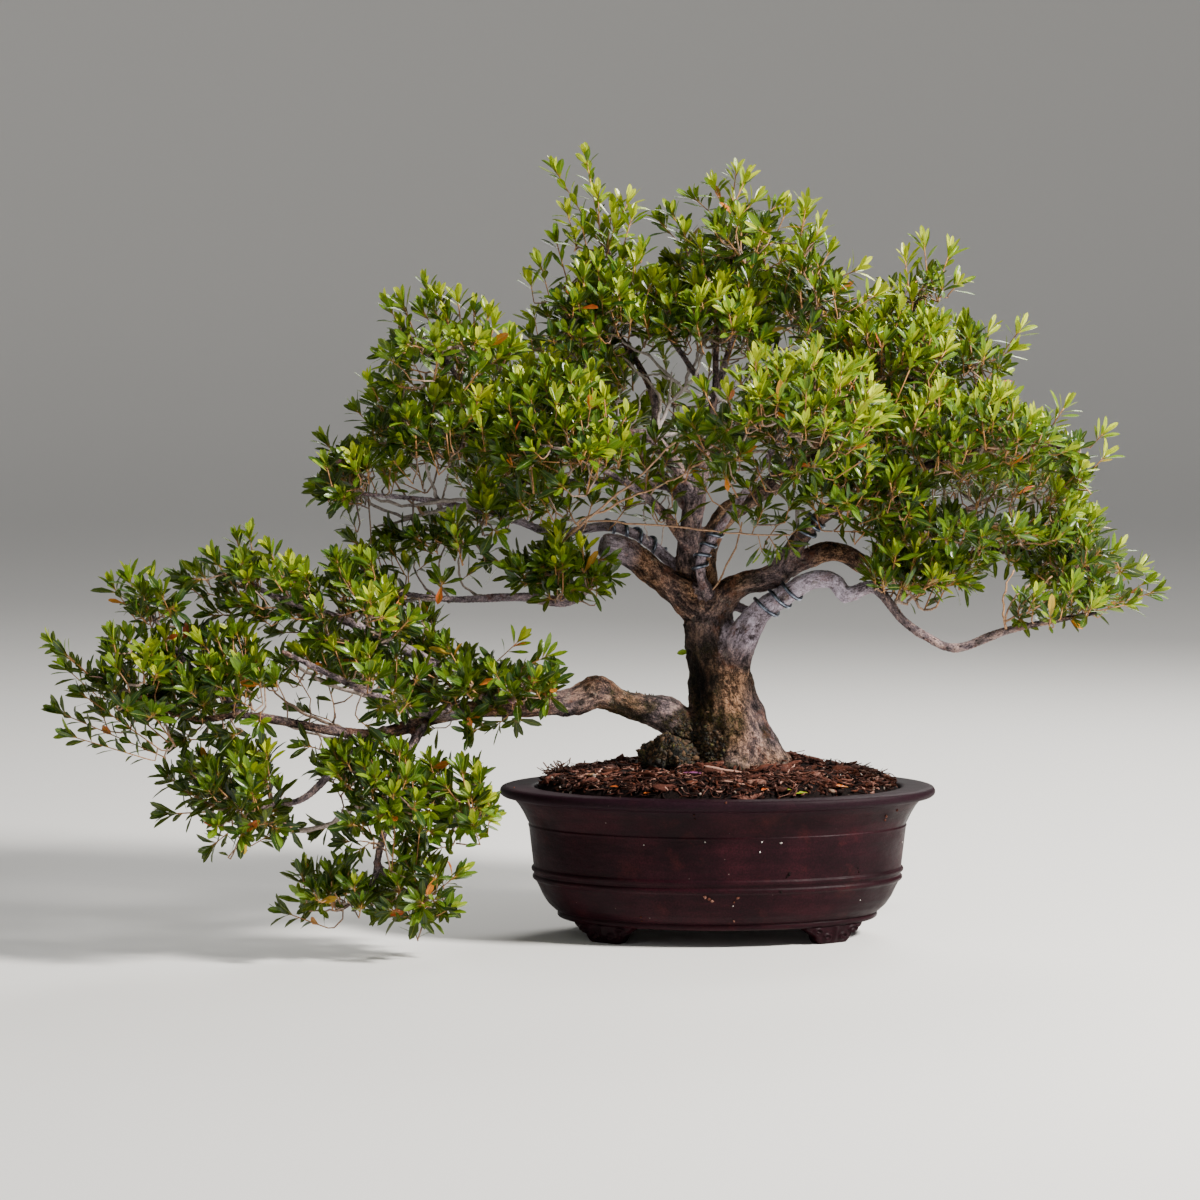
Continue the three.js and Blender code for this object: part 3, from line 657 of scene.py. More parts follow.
def leaf_finish():
    """tint holds the leaf's tone, which carries painted light and shade, its autumn colour and a
    random number; spot its own place.
    """
    f = Finish("azalea_leaf")
    tone = f.attribute("tint", "X")
    autumn = f.attribute("tint", "Y")
    chance = f.attribute("tint", "Z")
    along = f.attribute("spot", "X")
    aside = f.maths("ABSOLUTE", f.attribute("spot", "Y"))
    blotch = f.noise(0.006, 3)
    level = f.maths("ADD", tone, f.times(f.maths("SUBTRACT", blotch, 0.5), 0.22))
    green = f.ramp(
        level, (0.0, (0.005, 0.020, 0.005)), (0.3, (0.018, 0.062, 0.006)),
        (0.6, (0.125, 0.228, 0.007)), (1.0, (0.56, 0.62, 0.018)),
    )
    old = f.ramp(
        chance, (0.15, (0.60, 0.17, 0.015)), (0.5, (0.45, 0.03, 0.02)), (0.8, (0.55, 0.36, 0.03)),
        (1.0, (0.26, 0.07, 0.20)),
    )
    base = f.mix(autumn, green, old)
    middle = f.ramp(aside, (0.03, 1.0), (0.16, 0.0))
    base = f.mix(f.times(middle, 0.45), base, (0.34, 0.40, 0.06))
    stalk = f.ramp(along, (0.05, 1.0), (0.28, 0.0))
    base = f.mix(f.times(stalk, 0.75), base, (0.44, 0.22, 0.03))
    f.set(Base_Color=base)
    f.set(Roughness=f.ramp(blotch, (0.3, 0.21), (0.7, 0.38)), Specular_IOR_Level=0.44)
    veins = f.maths("SINE", f.weighted((along, 46.0), (aside, -9.0)))
    f.set(Normal=f.bump(f.maths("ADD", f.times(veins, 0.03), middle), -0.0004))
    through = f.node("ShaderNodeBsdfTranslucent", {"Color": f.mix(0.5, base, (0.42, 0.52, 0.02))})
    both = f.node("ShaderNodeMixShader", {0: 0.20, 1: f.surface.outputs[0], 2: through.outputs[0]})
    f.put(f.tree.nodes["Material Output"].inputs["Surface"], both.outputs[0])
    return f.material


def mulch_finish():
    """tint holds a chip's paleness, its redness and a random number."""
    f = Finish("bark_mulch")
    fibre = f.noise(0.0022, 4, 0.65)
    brown = f.ramp(
        f.weighted((fibre, 0.6), (f.attribute("tint", "X"), 0.5)), (0.25, (0.002, 0.001, 0.001)),
        (0.47, (0.013, 0.0045, 0.003)), (0.66, (0.074, 0.024, 0.017)), (0.90, (0.42, 0.23, 0.175)),
    )
    f.set(Base_Color=f.mix(f.attribute("tint", "Y"), brown, (0.11, 0.030, 0.014)))
    f.set(Roughness=f.ramp(fibre, (0.3, 0.95), (0.7, 0.75)), Specular_IOR_Level=0.12)
    f.set(Normal=f.bump(fibre, 0.0007))
    return f.material


def stone_finish():
    f = Finish("pumice")
    pore = f.noise(0.0016, 3, 0.6)
    base = f.ramp(
        pore, (0.32, (0.20, 0.175, 0.155)), (0.5, (0.50, 0.46, 0.42)), (0.7, (0.74, 0.70, 0.65)),
    )
    f.set(Base_Color=f.mix(f.attribute("tint", "X"), base, (0.20, 0.12, 0.075)))
    f.set(Roughness=f.ramp(pore, (0.3, 0.95), (0.7, 0.8)))
    f.set(Normal=f.bump(pore, 0.0008))
    return f.material


def moss_finish():
    f = Finish("moss")
    patch = f.noise(0.006, 5, 0.8)
    base = f.ramp(
        patch, (0.44, (0.002, 0.0018, 0.001)), (0.56, (0.011, 0.0095, 0.003)),
        (0.68, (0.11, 0.10, 0.010)),
    )
    base = f.mix(f.attribute("tint", "X"), base, (0.115, 0.055, 0.020))
    f.set(Base_Color=base, Roughness=f.ramp(patch, (0.3, 0.95), (0.7, 0.8)))
    f.set(Normal=f.bump(f.noise(0.0015, 3), 0.0009))
    return f.material


def wire_finish():
    f = Finish("training_wire")
    wear = f.noise(0.006, 4, 0.65)
    f.set(Base_Color=f.ramp(wear, (0.35, (0.05, 0.058, 0.080)), (0.65, (0.25, 0.29, 0.37))))
    f.set(Metallic=1.0, Roughness=f.ramp(wear, (0.3, 0.45), (0.7, 0.24)))
    f.set(Normal=f.bump(f.noise(0.0015, 3), 0.00008))
    return f.material


def screen_finish():
    f = Finish("drainage_screen")
    dust = f.noise(0.004, 3)
    f.set(Base_Color=f.ramp(dust, (0.35, (0.016, 0.018, 0.020)), (0.7, (0.07, 0.055, 0.042))))
    f.set(Roughness=f.ramp(dust, (0.3, 0.45), (0.7, 0.8)))
    f.set(Normal=f.bump(dust, 0.0002))
    return f.material


CLAY = clay_finish()
BARK = bark_finish()
TWIG = twig_finish()
LEAF = leaf_finish()
MULCH = mulch_finish()
STONE = stone_finish()
MOSS = moss_finish()
WIRE = wire_finish()
SCREEN = screen_finish()

# ---------------------------------------------------------------- the pot

POT_OVALNESS = 0.655  # width over length, outside
CAVITY_OVALNESS = 0.6434
POT_SIDES = 144
# Half length of the pot's oval and height, in millimetres: outside below and above the two raised
# lines, and inside.
POT_OUTSIDE = [
    (0, 16.5), (60, 16.5), (120, 16.5), (148.2, 16.5), (151, 18.2), (151, 21.2), (149.6, 22.8),
    (152.5, 23.6), (159.5, 30), (164.5, 37.5), (168.5, 46), (171.2, 51.2),
]
POT_UPPER = [
    (173.6, 67), (175.6, 84), (177.7, 102.4), (178.6, 104.3), (177.4, 105.4), (179, 108),
    (182.5, 115.5), (187, 123), (192.5, 129.6), (201.8, 131.2), (204.9, 133.6), (205, 137),
    (203.4, 139.8), (199.5, 141), (188, 140.8), (176.5, 140.9), (173, 140.2), (171.8, 138),
]
POT_INSIDE = [(171, 105), (167.5, 64), (165, 52), (157, 35), (143, 24.5), (60, 24.5), (0, 24.5)]
BEADS = [(171.9, 55.0), (172.9, 62.6)]  # half length of the wall, and height
BEAD_RADIUS = 2.7
DRAIN_X = 78  # from the pot's middle to the middle of a drainage hole
DRAIN_RADIUS = 11
# How far the pot's corners are rounded, outside and inside, and how uneven its wall is.
OUTSIDE_ROUNDING = 1.2
INSIDE_ROUNDING = 4
POT_UNEVEN = 0.3 * MM


def rounded(profile, radius, steps=3):
    """The profile with each corner turned into a short arc."""
    profile = np.asarray(profile, float)
    smooth = [profile[0]]
    for before, corner, after in zip(profile, profile[1:], profile[2:]):
        ways = [before - corner, after - corner]
        lengths = [np.linalg.norm(way) for way in ways]
        first, last = (
            corner + way / length * min(radius, 0.4 * length) for way, length in zip(ways, lengths)
        )
        for part in np.linspace(0, 1, steps + 1):
            smooth.append((1 - part) ** 2 * first + 2 * part * (1 - part) * corner + part**2 * last)
    return np.array([*smooth, profile[-1]])


def bead(wall, height):
    """A raised line round the wall."""
    angles = np.radians(np.linspace(-75, 75, 5))
    return [(wall + BEAD_RADIUS * np.cos(a), height + BEAD_RADIUS * np.sin(a)) for a in angles]


def make_pot():
    """Wall, lip, inside and floor as one closed shell, with two drainage holes."""
    wall = [*POT_OUTSIDE, *bead(*BEADS[0]), *bead(*BEADS[1]), *POT_UPPER]
    outside = rounded(wall, OUTSIDE_ROUNDING, 2)
    inside = rounded([POT_UPPER[-1], *POT_INSIDE], INSIDE_ROUNDING)[1:]
    profile = np.vstack([outside, inside])
    ovalness = np.r_[np.full(len(outside), POT_OVALNESS), np.full(len(inside), CAVITY_OVALNESS)]
    rings = profile[1:-1]
    flat = placed(oval_rings(rings, ovalness[1:-1, None], POT_SIDES)).reshape(-1, 3)
    way = flat - POT_CENTRE
    way[:, 2] = 0
    flat = flat + unit(way) * (POT_UNEVEN * noise(flat, 0.05, 3))[:, None]
    centres = placed([[0, 0, profile[0, 1]], [0, 0, profile[-1, 1]]])
    quads, _ = ring_faces(len(rings), POT_SIDES)
    first = np.arange(POT_SIDES)
    following = np.roll(first, -1)
    last = len(flat) - POT_SIDES
    under = np.stack([np.full(POT_SIDES, len(flat)), following, first], axis=-1)
    floor = np.stack([np.full(POT_SIDES, len(flat) + 1), first + last, following + last], axis=-1)
    shell = Pile()
    shell.add(np.vstack([flat, centres]), [quads, under, floor])
    shell_piece = shell.piece("pot_body", CLAY, "pot_clay", "pot")
    for x_place in (-DRAIN_X, DRAIN_X):
        path = placed([[x_place, 0, 10], [x_place, 0, 30]])[None]
        drill_pile = Pile()
        drill_pile.add(*tubes(path, DRAIN_RADIUS * MM, 32))
        drill = drill_pile.piece("drill", CLAY, "pot_clay")
        applied(shell_piece, "BOOLEAN", object=drill, solver="EXACT")
        bpy.data.objects.remove(drill)
    shell_piece.data.shade_smooth()
    return shell_piece


FOOT_X = 110
FOOT_HEIGHT = 17.0
FOOT_RING = 151.0
FOOT_DEPTH = 20.0
# Share of the foot's height, and half its width there.
FOOT_OUTLINE = [(0, 13.5), (0.12, 15.5), (0.3, 17.0), (0.45, 17.5), (0.6, 21.5), (0.8, 26.5), (1, 28)]
FOOT_COLUMNS = 53
FOOT_ROWS = 22
# Scrolls on a foot: how far out the middle lies, its height, the radius, and which way it winds.
SCROLLS = [(17.5, 11.5, 4.2, 1), (7.4, 6.0, 3.6, -1)]


def curl(x, z, centre, radius, side):
    """A raised scroll: a ring that winds into a boss."""
    dx, dz = (x - centre[0]) * side, z - centre[1]
    reach = np.hypot(dx, dz)
    wound = radius * (0.75 + 0.25 * np.arctan2(dz, dx) / np.pi)
    ring = np.exp(-(((reach - wound) / 0.85) ** 2))
    return ring + 0.9 * np.exp(-((reach / 1.2) ** 2))


def make_foot(side_x, side_y):
    """One cloud-shaped foot under the base ring, with scrolls in relief on its outside."""
    a, h = np.meshgrid(np.linspace(-1, 1, FOOT_COLUMNS), np.linspace(0, 1, FOOT_ROWS))
    half = np.interp(h, *zip(*FOOT_OUTLINE))
    along = a * half
    z = h * FOOT_HEIGHT
    relief = 0
    for out_from, up, radius, winding in SCROLLS:
        pair = (curl(along, z, (out_from * hand, up), radius, winding * hand) for hand in (-1, 1))
        relief = relief + sum(pair)
    relief = relief + 0.9 * np.exp(-((along / 2.2) ** 2)) * np.clip(h * 2, 0, 1)
    edge = np.clip((1 - np.abs(a)) * half / 1.8, 0, 1)
    relief = 2.4 * relief * edge - 3.0 * (1 - edge) ** 2 - 3.5 * (1 - h) ** 1.5
    x = FOOT_X + along
    front_y = POT_OVALNESS * np.sqrt(np.maximum(FOOT_RING**2 - x**2, 0))
    way = unit(np.stack([x * POT_OVALNESS**2, front_y, 0 * x], axis=-1))
    ring = np.stack([x, front_y, z], axis=-1)
    front, back = ring + way * (relief - 2.2)[..., None], ring - way * FOOT_DEPTH
    columns = np.concatenate([front, back[:, ::-1]], axis=1) * np.array([side_x, side_y, 1])
    quads, caps = ring_faces(*columns.shape[:2])
    if side_x * side_y > 0:
        quads, caps = quads[:, ::-1], caps[:, ::-1]
    foot = Pile()
    foot.add(placed(columns), [quads, caps])
    side = ("left", "middle", "right")[side_x + 1]
    return foot.piece(f"pot_foot_{'front' if side_y < 0 else 'back'}_{side}", CLAY, "pot_clay")


SCREEN_STRANDS = 14
SCREEN_STEPS = 27
STRAND_RADIUS = 0.42 * MM
STRAND_WAVE = 0.13 * MM


def make_screen(side):
    """A woven plastic mesh over one drainage hole."""
    low, high = (np.array(corner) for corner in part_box(f"drainage_screen_{side}"))
    first, last = low + STRAND_RADIUS, high - STRAND_RADIUS
    spread = [np.linspace(first[axis], last[axis], SCREEN_STRANDS) for axis in (0, 1)]
    weave = Pile()
    for runs, wave in ((1, STRAND_WAVE), (0, -STRAND_WAVE)):
        crossed = spread[runs]
        for turn, place in enumerate(spread[1 - runs]):
            path = np.full((SCREEN_STEPS, 3), place)
            path[:, runs] = np.linspace(low[runs], high[runs], SCREEN_STEPS)
            passed = (path[:, runs] - crossed[0]) / (crossed[1] - crossed[0])
            path[:, 2] = (low[2] + high[2]) / 2 + wave * np.cos(np.pi * (passed + turn))
            weave.add(*tubes(path[None], STRAND_RADIUS, 4))
    name = f"drainage_screen_{side}"
    return weave.piece(f"screen_mesh_{side}", SCREEN, "drainage_screen", name)


pot_piece = make_pot()
for side_x in (-1, 1):
    for side_y in (-1, 1):
        make_foot(side_x, side_y)
make_screen("left")
make_screen("right")

# ---------------------------------------------------------------- trunk and limbs

BARK_VOXEL = 1.75 * MM
THICK_LIMB = 9 * MM  # a limb thicker than this at its foot has more sides and the trunk's colour


def all_lines(spacing):
    """Every limb's centre line, by name, the trunk's first."""
    return {name: limb_line(rows, spacing) for name, rows in (("trunk", TRUNK), *LIMBS.items())}


def nearest_limb(points, lines):
    """For each point the nearest place on a limb's line, the limb's direction, radius and paleness
    there."""
    tree = KDTree(sum(len(line) for line, _ in lines.values()))
    centres, alongs, sizes, pales = [], [], [], []
    for name, (line, radii) in lines.items():
        own = 0.04 if radii[0] > THICK_LIMB else 0.3
        for place, along, radius in zip(line, unit(np.gradient(line, axis=0)), radii):
            tree.insert(place, len(centres))
            centres.append(place)
            alongs.append(along)
            sizes.append(radius)
            share = min(1.0, np.linalg.norm(place - line[0]) / (45 * MM)) ** 2
            share = (PALENESS.get(name, own) - own) * share * min(1.0, radius / (5.5 * MM))
            pales.append(own + share)
    tree.balance()
    nearest = np.empty(len(points), int)
    for i, point in enumerate(points):
        near = tree.find_n(point, 6)
        nearest[i] = min(near, key=lambda found: found[2] - 0.8 * sizes[found[1]])[1]
    return [np.array(rows)[nearest] for rows in (centres, alongs, sizes, pales)]


def bark_relief(piece, points, grain, size, lost):
    """How far each point is lifted, in metres, and how high it counts for the bark's colour, whose low
    places are painted darker as shade.
    """
    strength = np.clip(size / (24 * MM), 0.10, 1.0)
    broad = noise(points, 0.034, 7)
    ridge = 1 - np.abs(noise(grain, 0.0085, 11, 3))
    knob = noise(grain, 0.0042, 13, 2)
    furrow = noise(points * [1, 1, 0.22], 0.012, 15, 3)
    low = np.clip((0.26 - points[:, 2]) / 0.06, 0, 1) * (size > 12 * MM)
    height = 0.3 * broad + 0.9 * (ridge - 0.62) + 0.6 * knob + 0.5 * low * furrow
    lift = strength * (3.0 * MM * broad + 2.4 * MM * (ridge - 0.62) + 1.5 * MM * knob)
    lift += low * 1.6 * MM * furrow
    lift = np.clip(lift, -0.3 * size, 0.3 * size) + lost
    skin = surface_of(piece)
    for spot, ring, rise, hollow, deep in KNOTS:
        place = seen_on(skin, *spot, 0)
        reach = np.linalg.norm((points - place) * [1, 1, 1.25], axis=1) / MM
        pit = np.exp(-((reach / hollow) ** 2))
        lift += (rise * np.exp(-(((reach - ring * 0.6) / (0.42 * ring)) ** 2)) - deep * pit) * MM
        # Knot hollows and the crease round each knot count as low, so painted shade darkens them.
        height -= 1.6 * pit * (deep > 1) + 0.5 * np.exp(-(((reach - ring) / 1.1) ** 2))
    return lift, height


def bark_painted_shade(points, middle, size):
    """How much painted shade darkens each point: the trunk's lower part, on the side that faces -X."""
    facing = unit(points - middle)[:, 0]
    painted_shade = np.clip(0.40 - 1.35 * facing + 0.55 * noise(points, 0.018, 41, 3), 0, 1)
    return painted_shade * (np.clip((0.335 - points[:, 2]) / 0.06, 0, 1) * np.clip(size / MM - 17, 0, 1))


def bark_moss_and_shade(points):
    """How mossy each point is: near the moss cushion and beside it on the trunk, where the dark moss
    also stands in for painted shade on the trunk's foot.
    """
    moss_low, moss_high = (np.array(corner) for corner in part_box("moss_patch"))
    reach = np.linalg.norm(points - (moss_low + moss_high) / 2 + [0, 0, 0.01], axis=1)
    beside = np.linalg.norm(points - seen_place(*MOSSY, POT_CENTRE[1] - 0.034), axis=1)
    reach = np.minimum(reach, beside * 1.6)
    return np.clip(1.45 - reach / 0.064 + 0.9 * noise(points, 0.012, 19, 3), 0, 1)


def make_bark():
    """The trunk and limbs as one skin, with ridges, knots and hollows in its surface."""
    lines = all_lines(4 * MM)
    raw = Pile()
    for line, radii in lines.values():
        swell = 1 + 0.07 * noise(line, 0.030, 5) * (radii > 5 * MM)
        raw.add(*tubes(line[None], (radii * swell)[None], 28 if radii[0] > THICK_LIMB else 14))
    piece = raw.piece("trunk_bark", BARK, "bark", "trunk_and_branches")
    applied(piece, "REMESH", mode="VOXEL", voxel_size=BARK_VOXEL)
    mesh = applied(piece, "SMOOTH", factor=0.5, iterations=5)
    points = vertices_of(mesh)
    centre, along, size, pale = nearest_limb(points, lines)
    middle = centre + along * np.sum((points - centre) * along, 1)[:, None]
    # The middle moves with the place along the limb, which stretches the grain along it.
    grain = points - 0.55 * middle
    lost = np.clip(size - np.linalg.norm(points - centre, axis=1), 0, 1.4 * MM)
    lift, height = bark_relief(piece, points, grain, size, lost)
    points = points + normals_of(mesh) * lift[:, None]
    move_vertices(mesh, points)

    pale = (pale + 0.2 * noise(points, 0.05, 17)) * np.clip((0.26 - points[:, 0]) / 0.05, 0.3, 1)
    # The cut end is pale bare wood, made paler still as painted light where the crown shades it.
    cut_reach = np.linalg.norm(points - placed(CUT_END), axis=1)
    pale = np.clip(np.maximum(pale, 1.45 - cut_reach / (30 * MM)), 0, 1)
    tint = np.stack([np.clip(0.5 + 0.5 * height, 0, 1), pale, 0.8 * bark_moss_and_shade(points)], axis=1)
    write_vectors(mesh, tint=tint, grain=grain, spot=grey(bark_painted_shade(points, middle, size)))
    mesh.update()
    applied(piece, "DECIMATE", ratio=0.6).shade_smooth()
    return ridden(piece, BARK, "bark", "trunk_and_branches")


WIRE_RADIUS = 1.8 * MM
WIRE_REACH = 1.6 * MM  # from the bark to the wire's middle, so that it lies a little in the bark
WIRE_STEPS = 26  # to a turn
RAY_START = 7 * MM  # how far outside a limb's own radius the bark is looked for


def make_wire(name, limb, first, last, turns):
    """A wire wound close on its limb's bark."""
    count = turns * WIRE_STEPS
    line, radius = curve_at(LIMBS[limb], np.linspace(first, last, count + 1))
    _, across, beside = carried_frames(line[None])
    angle = np.linspace(0, 2 * np.pi * turns, count + 1)[:, None]
    way = np.cos(angle) * across[0] + np.sin(angle) * beside[0]
    reach = []
    for place, outward, size in zip(line, way, radius):
        hit, _, _, far = bark_skin.ray_cast(place + outward * (size + RAY_START), -outward)
        found = size + RAY_START - far if hit else size
        reach.append(found if 0.75 * size < found < 1.25 * size + 1 * MM else size)
    reach = np.convolve(np.pad(reach, 4, "edge"), np.full(9, 1 / 9), "valid")[:, None]
    path = line + (reach + WIRE_REACH) * way
    wire = Pile()
    wire.add(*tubes(path[None], WIRE_RADIUS, 10))
    return wire.piece(f"{name}_coil", WIRE, "training_wire", name)


bark_piece = make_bark()
bark_skin = surface_of(bark_piece)
for name, winding in WIRES.items():
    make_wire(name, *winding)

# ---------------------------------------------------------------- soil

# Half length of the oval and height of the soil's surface, in millimetres.
SOIL_PROFILE = [(0, 163), (42, 163), (87, 158), (132, 153), (160, 146), (171.3, 136.5)]
# Where the soil is piled up against the trunk: [x, y, reach, height], in millimetres.
SOIL_MOUNDS = [[66, -10, 26, 9], [-36, -14, 30, 5]]
# The soil's side, down inside the pot: half length of the oval and height.
SOIL_WALL = [(143, 25), (157, 35.5), (164.8, 52), (167.2, 64), (170.4, 104)]
SOIL_RINGS = 48
SOIL_SIDES = 130
SOIL_REACH = 171.2  # half length of the soil's oval
SOIL_EDGE_TOP = 138.5 * MM  # the soil's edge stays below this, under the lip
SCATTER_REACH = 168  # half length of the oval that loose bits are scattered on
LYING_REACH = 169  # and of the oval that their ends stay inside
SEEN_REACH = 167  # and of the oval that bits placed by a pixel lie in
TRUNK_FOOT = (16, 3, 41)  # middle and radius of the round that is kept clear for the trunk


def soil_oval(x, y):
    """Places in metres as millimetres from the pot's middle, the oval stretched into a circle."""
    return (x - POT_CENTRE[0]) / MM, (y - POT_CENTRE[1]) / MM / CAVITY_OVALNESS


def soil_height(x, y):
    """Height in metres of the soil's surface, for places in metres in the model's frame."""
    along, across = soil_oval(x, y)
    z = np.interp(np.hypot(along, across), *zip(*SOIL_PROFILE)) * MM
    for mound_x, mound_y, reach, high in SOIL_MOUNDS:
        z = z + high * MM * np.exp(-((along - mound_x) ** 2 + (across - mound_y) ** 2) / reach**2)
    flat = np.stack([x, y, 0 * x], axis=-1).reshape(-1, 3)
    rough = 2.8 * MM * noise(flat, 0.022, 23, 3) + 1.6 * MM * noise(flat, 0.0075, 29, 2)
    return z + rough.reshape(np.shape(x))


def make_soil():
    """The mound of soil and its side inside the pot."""
    reach = np.linspace(1, 0, SOIL_RINGS, endpoint=False) ** 0.8 * SOIL_REACH
    top = placed(oval_rings([(r, 0) for r in reach], CAVITY_OVALNESS, SOIL_SIDES))
    top[..., 2] = soil_height(top[..., 0], top[..., 1])
    top[0, :, 2] = np.minimum(top[0, :, 2], SOIL_EDGE_TOP)
    skirt = placed(oval_rings(SOIL_WALL, CAVITY_OVALNESS, SOIL_SIDES))
    points = np.concatenate([skirt, top])
    ground = Pile()
    ground.add(points, ring_faces(*points.shape[:2]))
    return ground.piece("soil_mound", MULCH, "bark_mulch_soil", "soil")


def soil_places(count):
    """Scattered places on the soil, clear of the trunk."""
    reach = SCATTER_REACH * np.sqrt(rng.uniform(0, 1, count))
    angle = rng.uniform(0, 2 * np.pi, count)
    x = reach * np.cos(angle)
    y = reach * np.sin(angle) * CAVITY_OVALNESS
    clear = np.hypot(x - TRUNK_FOOT[0], y - TRUNK_FOOT[1]) > TRUNK_FOOT[2]
    x, y = (x * MM + POT_CENTRE[0])[clear], (y * MM + POT_CENTRE[1])[clear]
    return np.stack([x, y, soil_height(x, y)], axis=-1)


def lying_paths(places, lengths, rings, bend, tilt, lift):
    """Short curved paths that lie on the soil at the places."""
    count = len(places)
    heading = rng.uniform(0, 2 * np.pi, count)
    way = np.stack([np.cos(heading), np.sin(heading), rng.normal(0, tilt, count)], axis=-1)
    side = np.stack([-np.sin(heading), np.cos(heading), rng.normal(0, 0.3, count)], axis=-1)
    part = np.linspace(-0.5, 0.5, rings)[None, :, None]
    bow = (rng.normal(0, bend, count) * lengths)[:, None, None]
    path = places[:, None] + part * (unit(way) * lengths[:, None])[:, None]
    path = path + bow * (part**2 - 0.08) * 4 * unit(side)[:, None]
    ground = soil_height(path[..., 0], path[..., 1])
    path[..., 2] = np.maximum(path[..., 2], ground) + lift[:, None]
    oval = np.hypot(*soil_oval(path[..., 0], path[..., 1]))
    shrink = np.minimum(1, LYING_REACH / np.maximum(oval, 1e-3))[..., None]
    path[..., :2] = POT_CENTRE[:2] + (path[..., :2] - POT_CENTRE[:2]) * shrink
    return path


def add_lying(pile, path, radii, sides, tone, redness, flat=1.0, turn=0.0):
    """Bits of mulch along the paths, each with its own tone, redness and random number."""
    points, faces = tubes(path, radii, sides, flat, turn)
    tints = np.stack([tone, redness, rng.random(len(path))], axis=-1)
    pile.add(points, faces, tints[:, None, None])


# How many are scattered, before the trunk's foot is cleared.
CHIPS, FLAKES, FIBRES, LOOSE_STONES = 3300, 130, 1300, 150


def add_chips(pile):
    """Splinters of bark, short and thin."""
    places = soil_places(CHIPS)
    count = len(places)
    lengths = rng.gamma(3.2, 3.0, count).clip(3.5, 24) * MM
    widths = rng.uniform(0.6, 2.2, count)[:, None] * MM
    taper = np.array([0.45, 1.0, 0.85, 0.3]) * rng.uniform(0.7, 1.3, (count, 4))
    lift = rng.uniform(-0.3, 3.4, count) * MM
    path = lying_paths(places, lengths, 4, 0.12, 0.36, lift)
    turn = rng.uniform(0, np.pi, count)
    tone = rng.beta(0.75, 1.2, count)
    red = (rng.random(count) < 0.25) * rng.uniform(0.2, 0.8, count)
    add_lying(pile, path, widths * taper, 4, tone, red, 0.42, turn)


def add_flakes(pile):
    """Larger flat pieces of bark."""
    places = soil_places(FLAKES)
    count = len(places)
    lengths = rng.uniform(12, 30, count) * MM
    widths = rng.uniform(2.6, 5.0, count)[:, None] * MM
    taper = np.array([0.5, 0.95, 1.0, 0.85, 0.4]) * rng.uniform(0.8, 1.2, (count, 5))
    path = lying_paths(places, lengths, 5, 0.06, 0.15, rng.uniform(0.6, 2.6, count) * MM)
    turn = rng.normal(0, 0.5, count)
    tone = rng.beta(1.6, 1.5, count)
    add_lying(pile, path, widths * taper, 6, tone, 0.4 * rng.random(count), 0.3, turn)


def add_fibres(pile):
    """Thin fibres and dead roots, bent up or down at the ends."""
    places = soil_places(FIBRES)
    count = len(places)
    lengths = rng.uniform(8, 30, count) * MM
    lift = rng.uniform(0.5, 3.4, count) * MM
    path = lying_paths(places, lengths, 6, 0.22, 0.09, lift)
    path[..., 2] += (rng.uniform(-1, 1, (count, 1)) * np.linspace(-1, 1, 6) ** 2) * 1.4 * MM
    radii = rng.uniform(0.22, 0.55, count)[:, None] * MM * np.linspace(1, 0.5, 6)
    tone = rng.beta(1.8, 1.6, count)
    add_lying(pile, path, radii, 3, tone, 0.3 * rng.random(count))


def make_mulch():
    """The dressing of bark, and the fibres, sticks and dead roots in it."""
    chips = Pile()
    add_chips(chips)
    add_flakes(chips)
    chips.piece("mulch_chips", MULCH, "bark_mulch_soil")
    fibres = Pile()
    add_fibres(fibres)
    add_sticks(fibres)
    add_root_tuft(fibres)
    fibres.piece("mulch_fibres", MULCH, "bark_mulch_soil")


# Pale sticks on the soil: their ends as pixels in the view, and the radius in millimetres.
STICKS = [
    ((569, 771), (597, 766), 0.9), ((596, 778), (622, 764), 1.1), ((787, 775), (795, 767), 0.8),
    ((700, 770), (742, 776), 1.8), ((652, 786), (668, 792), 0.9), ((610, 768), (634, 773), 0.7),
    ((840, 766), (872, 776), 0.8), ((720, 784), (752, 790), 1.0), ((576, 786), (600, 792), 0.8),
]
ROOT_TUFT = (562, 770)
ROOT_TUFT_COUNT = 44


def add_sticks(pile):
    """Broken twigs that lie on the mulch."""
    for first, last, radius in STICKS:
        ends = np.array([soil_seen(*first), soil_seen(*last)])
        part = np.linspace(0, 1, 6)[:, None]
        path = ends[0] + part * (ends[1] - ends[0]) + rng.normal(0, 0.4 * MM, (6, 3))
        ground = soil_height(path[:, 0], path[:, 1])
        path[:, 2] = np.maximum(path[:, 2], ground) + (1.6 + radius) * MM
        radii = radius * MM * np.array([0.7, 1.0, 0.95, 1.0, 0.8, 0.5])
        pile.add(*tubes(path[None], radii[None], 6), (1.25, 0, 0))


def add_root_tuft(pile):
    """A tuft of dead roots that stands up from the mulch."""
    foot = soil_seen(*ROOT_TUFT)
    count = ROOT_TUFT_COUNT
    heading = rng.uniform(0, 2 * np.pi, count)
    rise = rng.uniform(0.0, 1.1, count)
    way = unit(np.stack([np.cos(heading), np.sin(heading), rise], axis=-1))
    length = rng.gamma(3.5, 1.9, count).clip(3, 15)[:, None, None] * MM
    part = np.linspace(0, 1, 6)[None, :, None]
    feet = foot + rng.normal(0, 4.5 * MM, (count, 1, 3)) * [1, 1, 0.35]
    path = feet + length * part * way[:, None]
    path = path + part**2 * rng.normal(0, 6 * MM, (count, 1, 3)) + rng.normal(0, 1.2 * MM, path.shape)
    radii = rng.uniform(0.5, 1.2, count)[:, None] * MM * np.linspace(1, 0.6, 6)
    points, faces = tubes(path, radii, 4)
    pile.add(points, faces, first_only(rng.uniform(0.8, 1.35, count))[:, None, None])


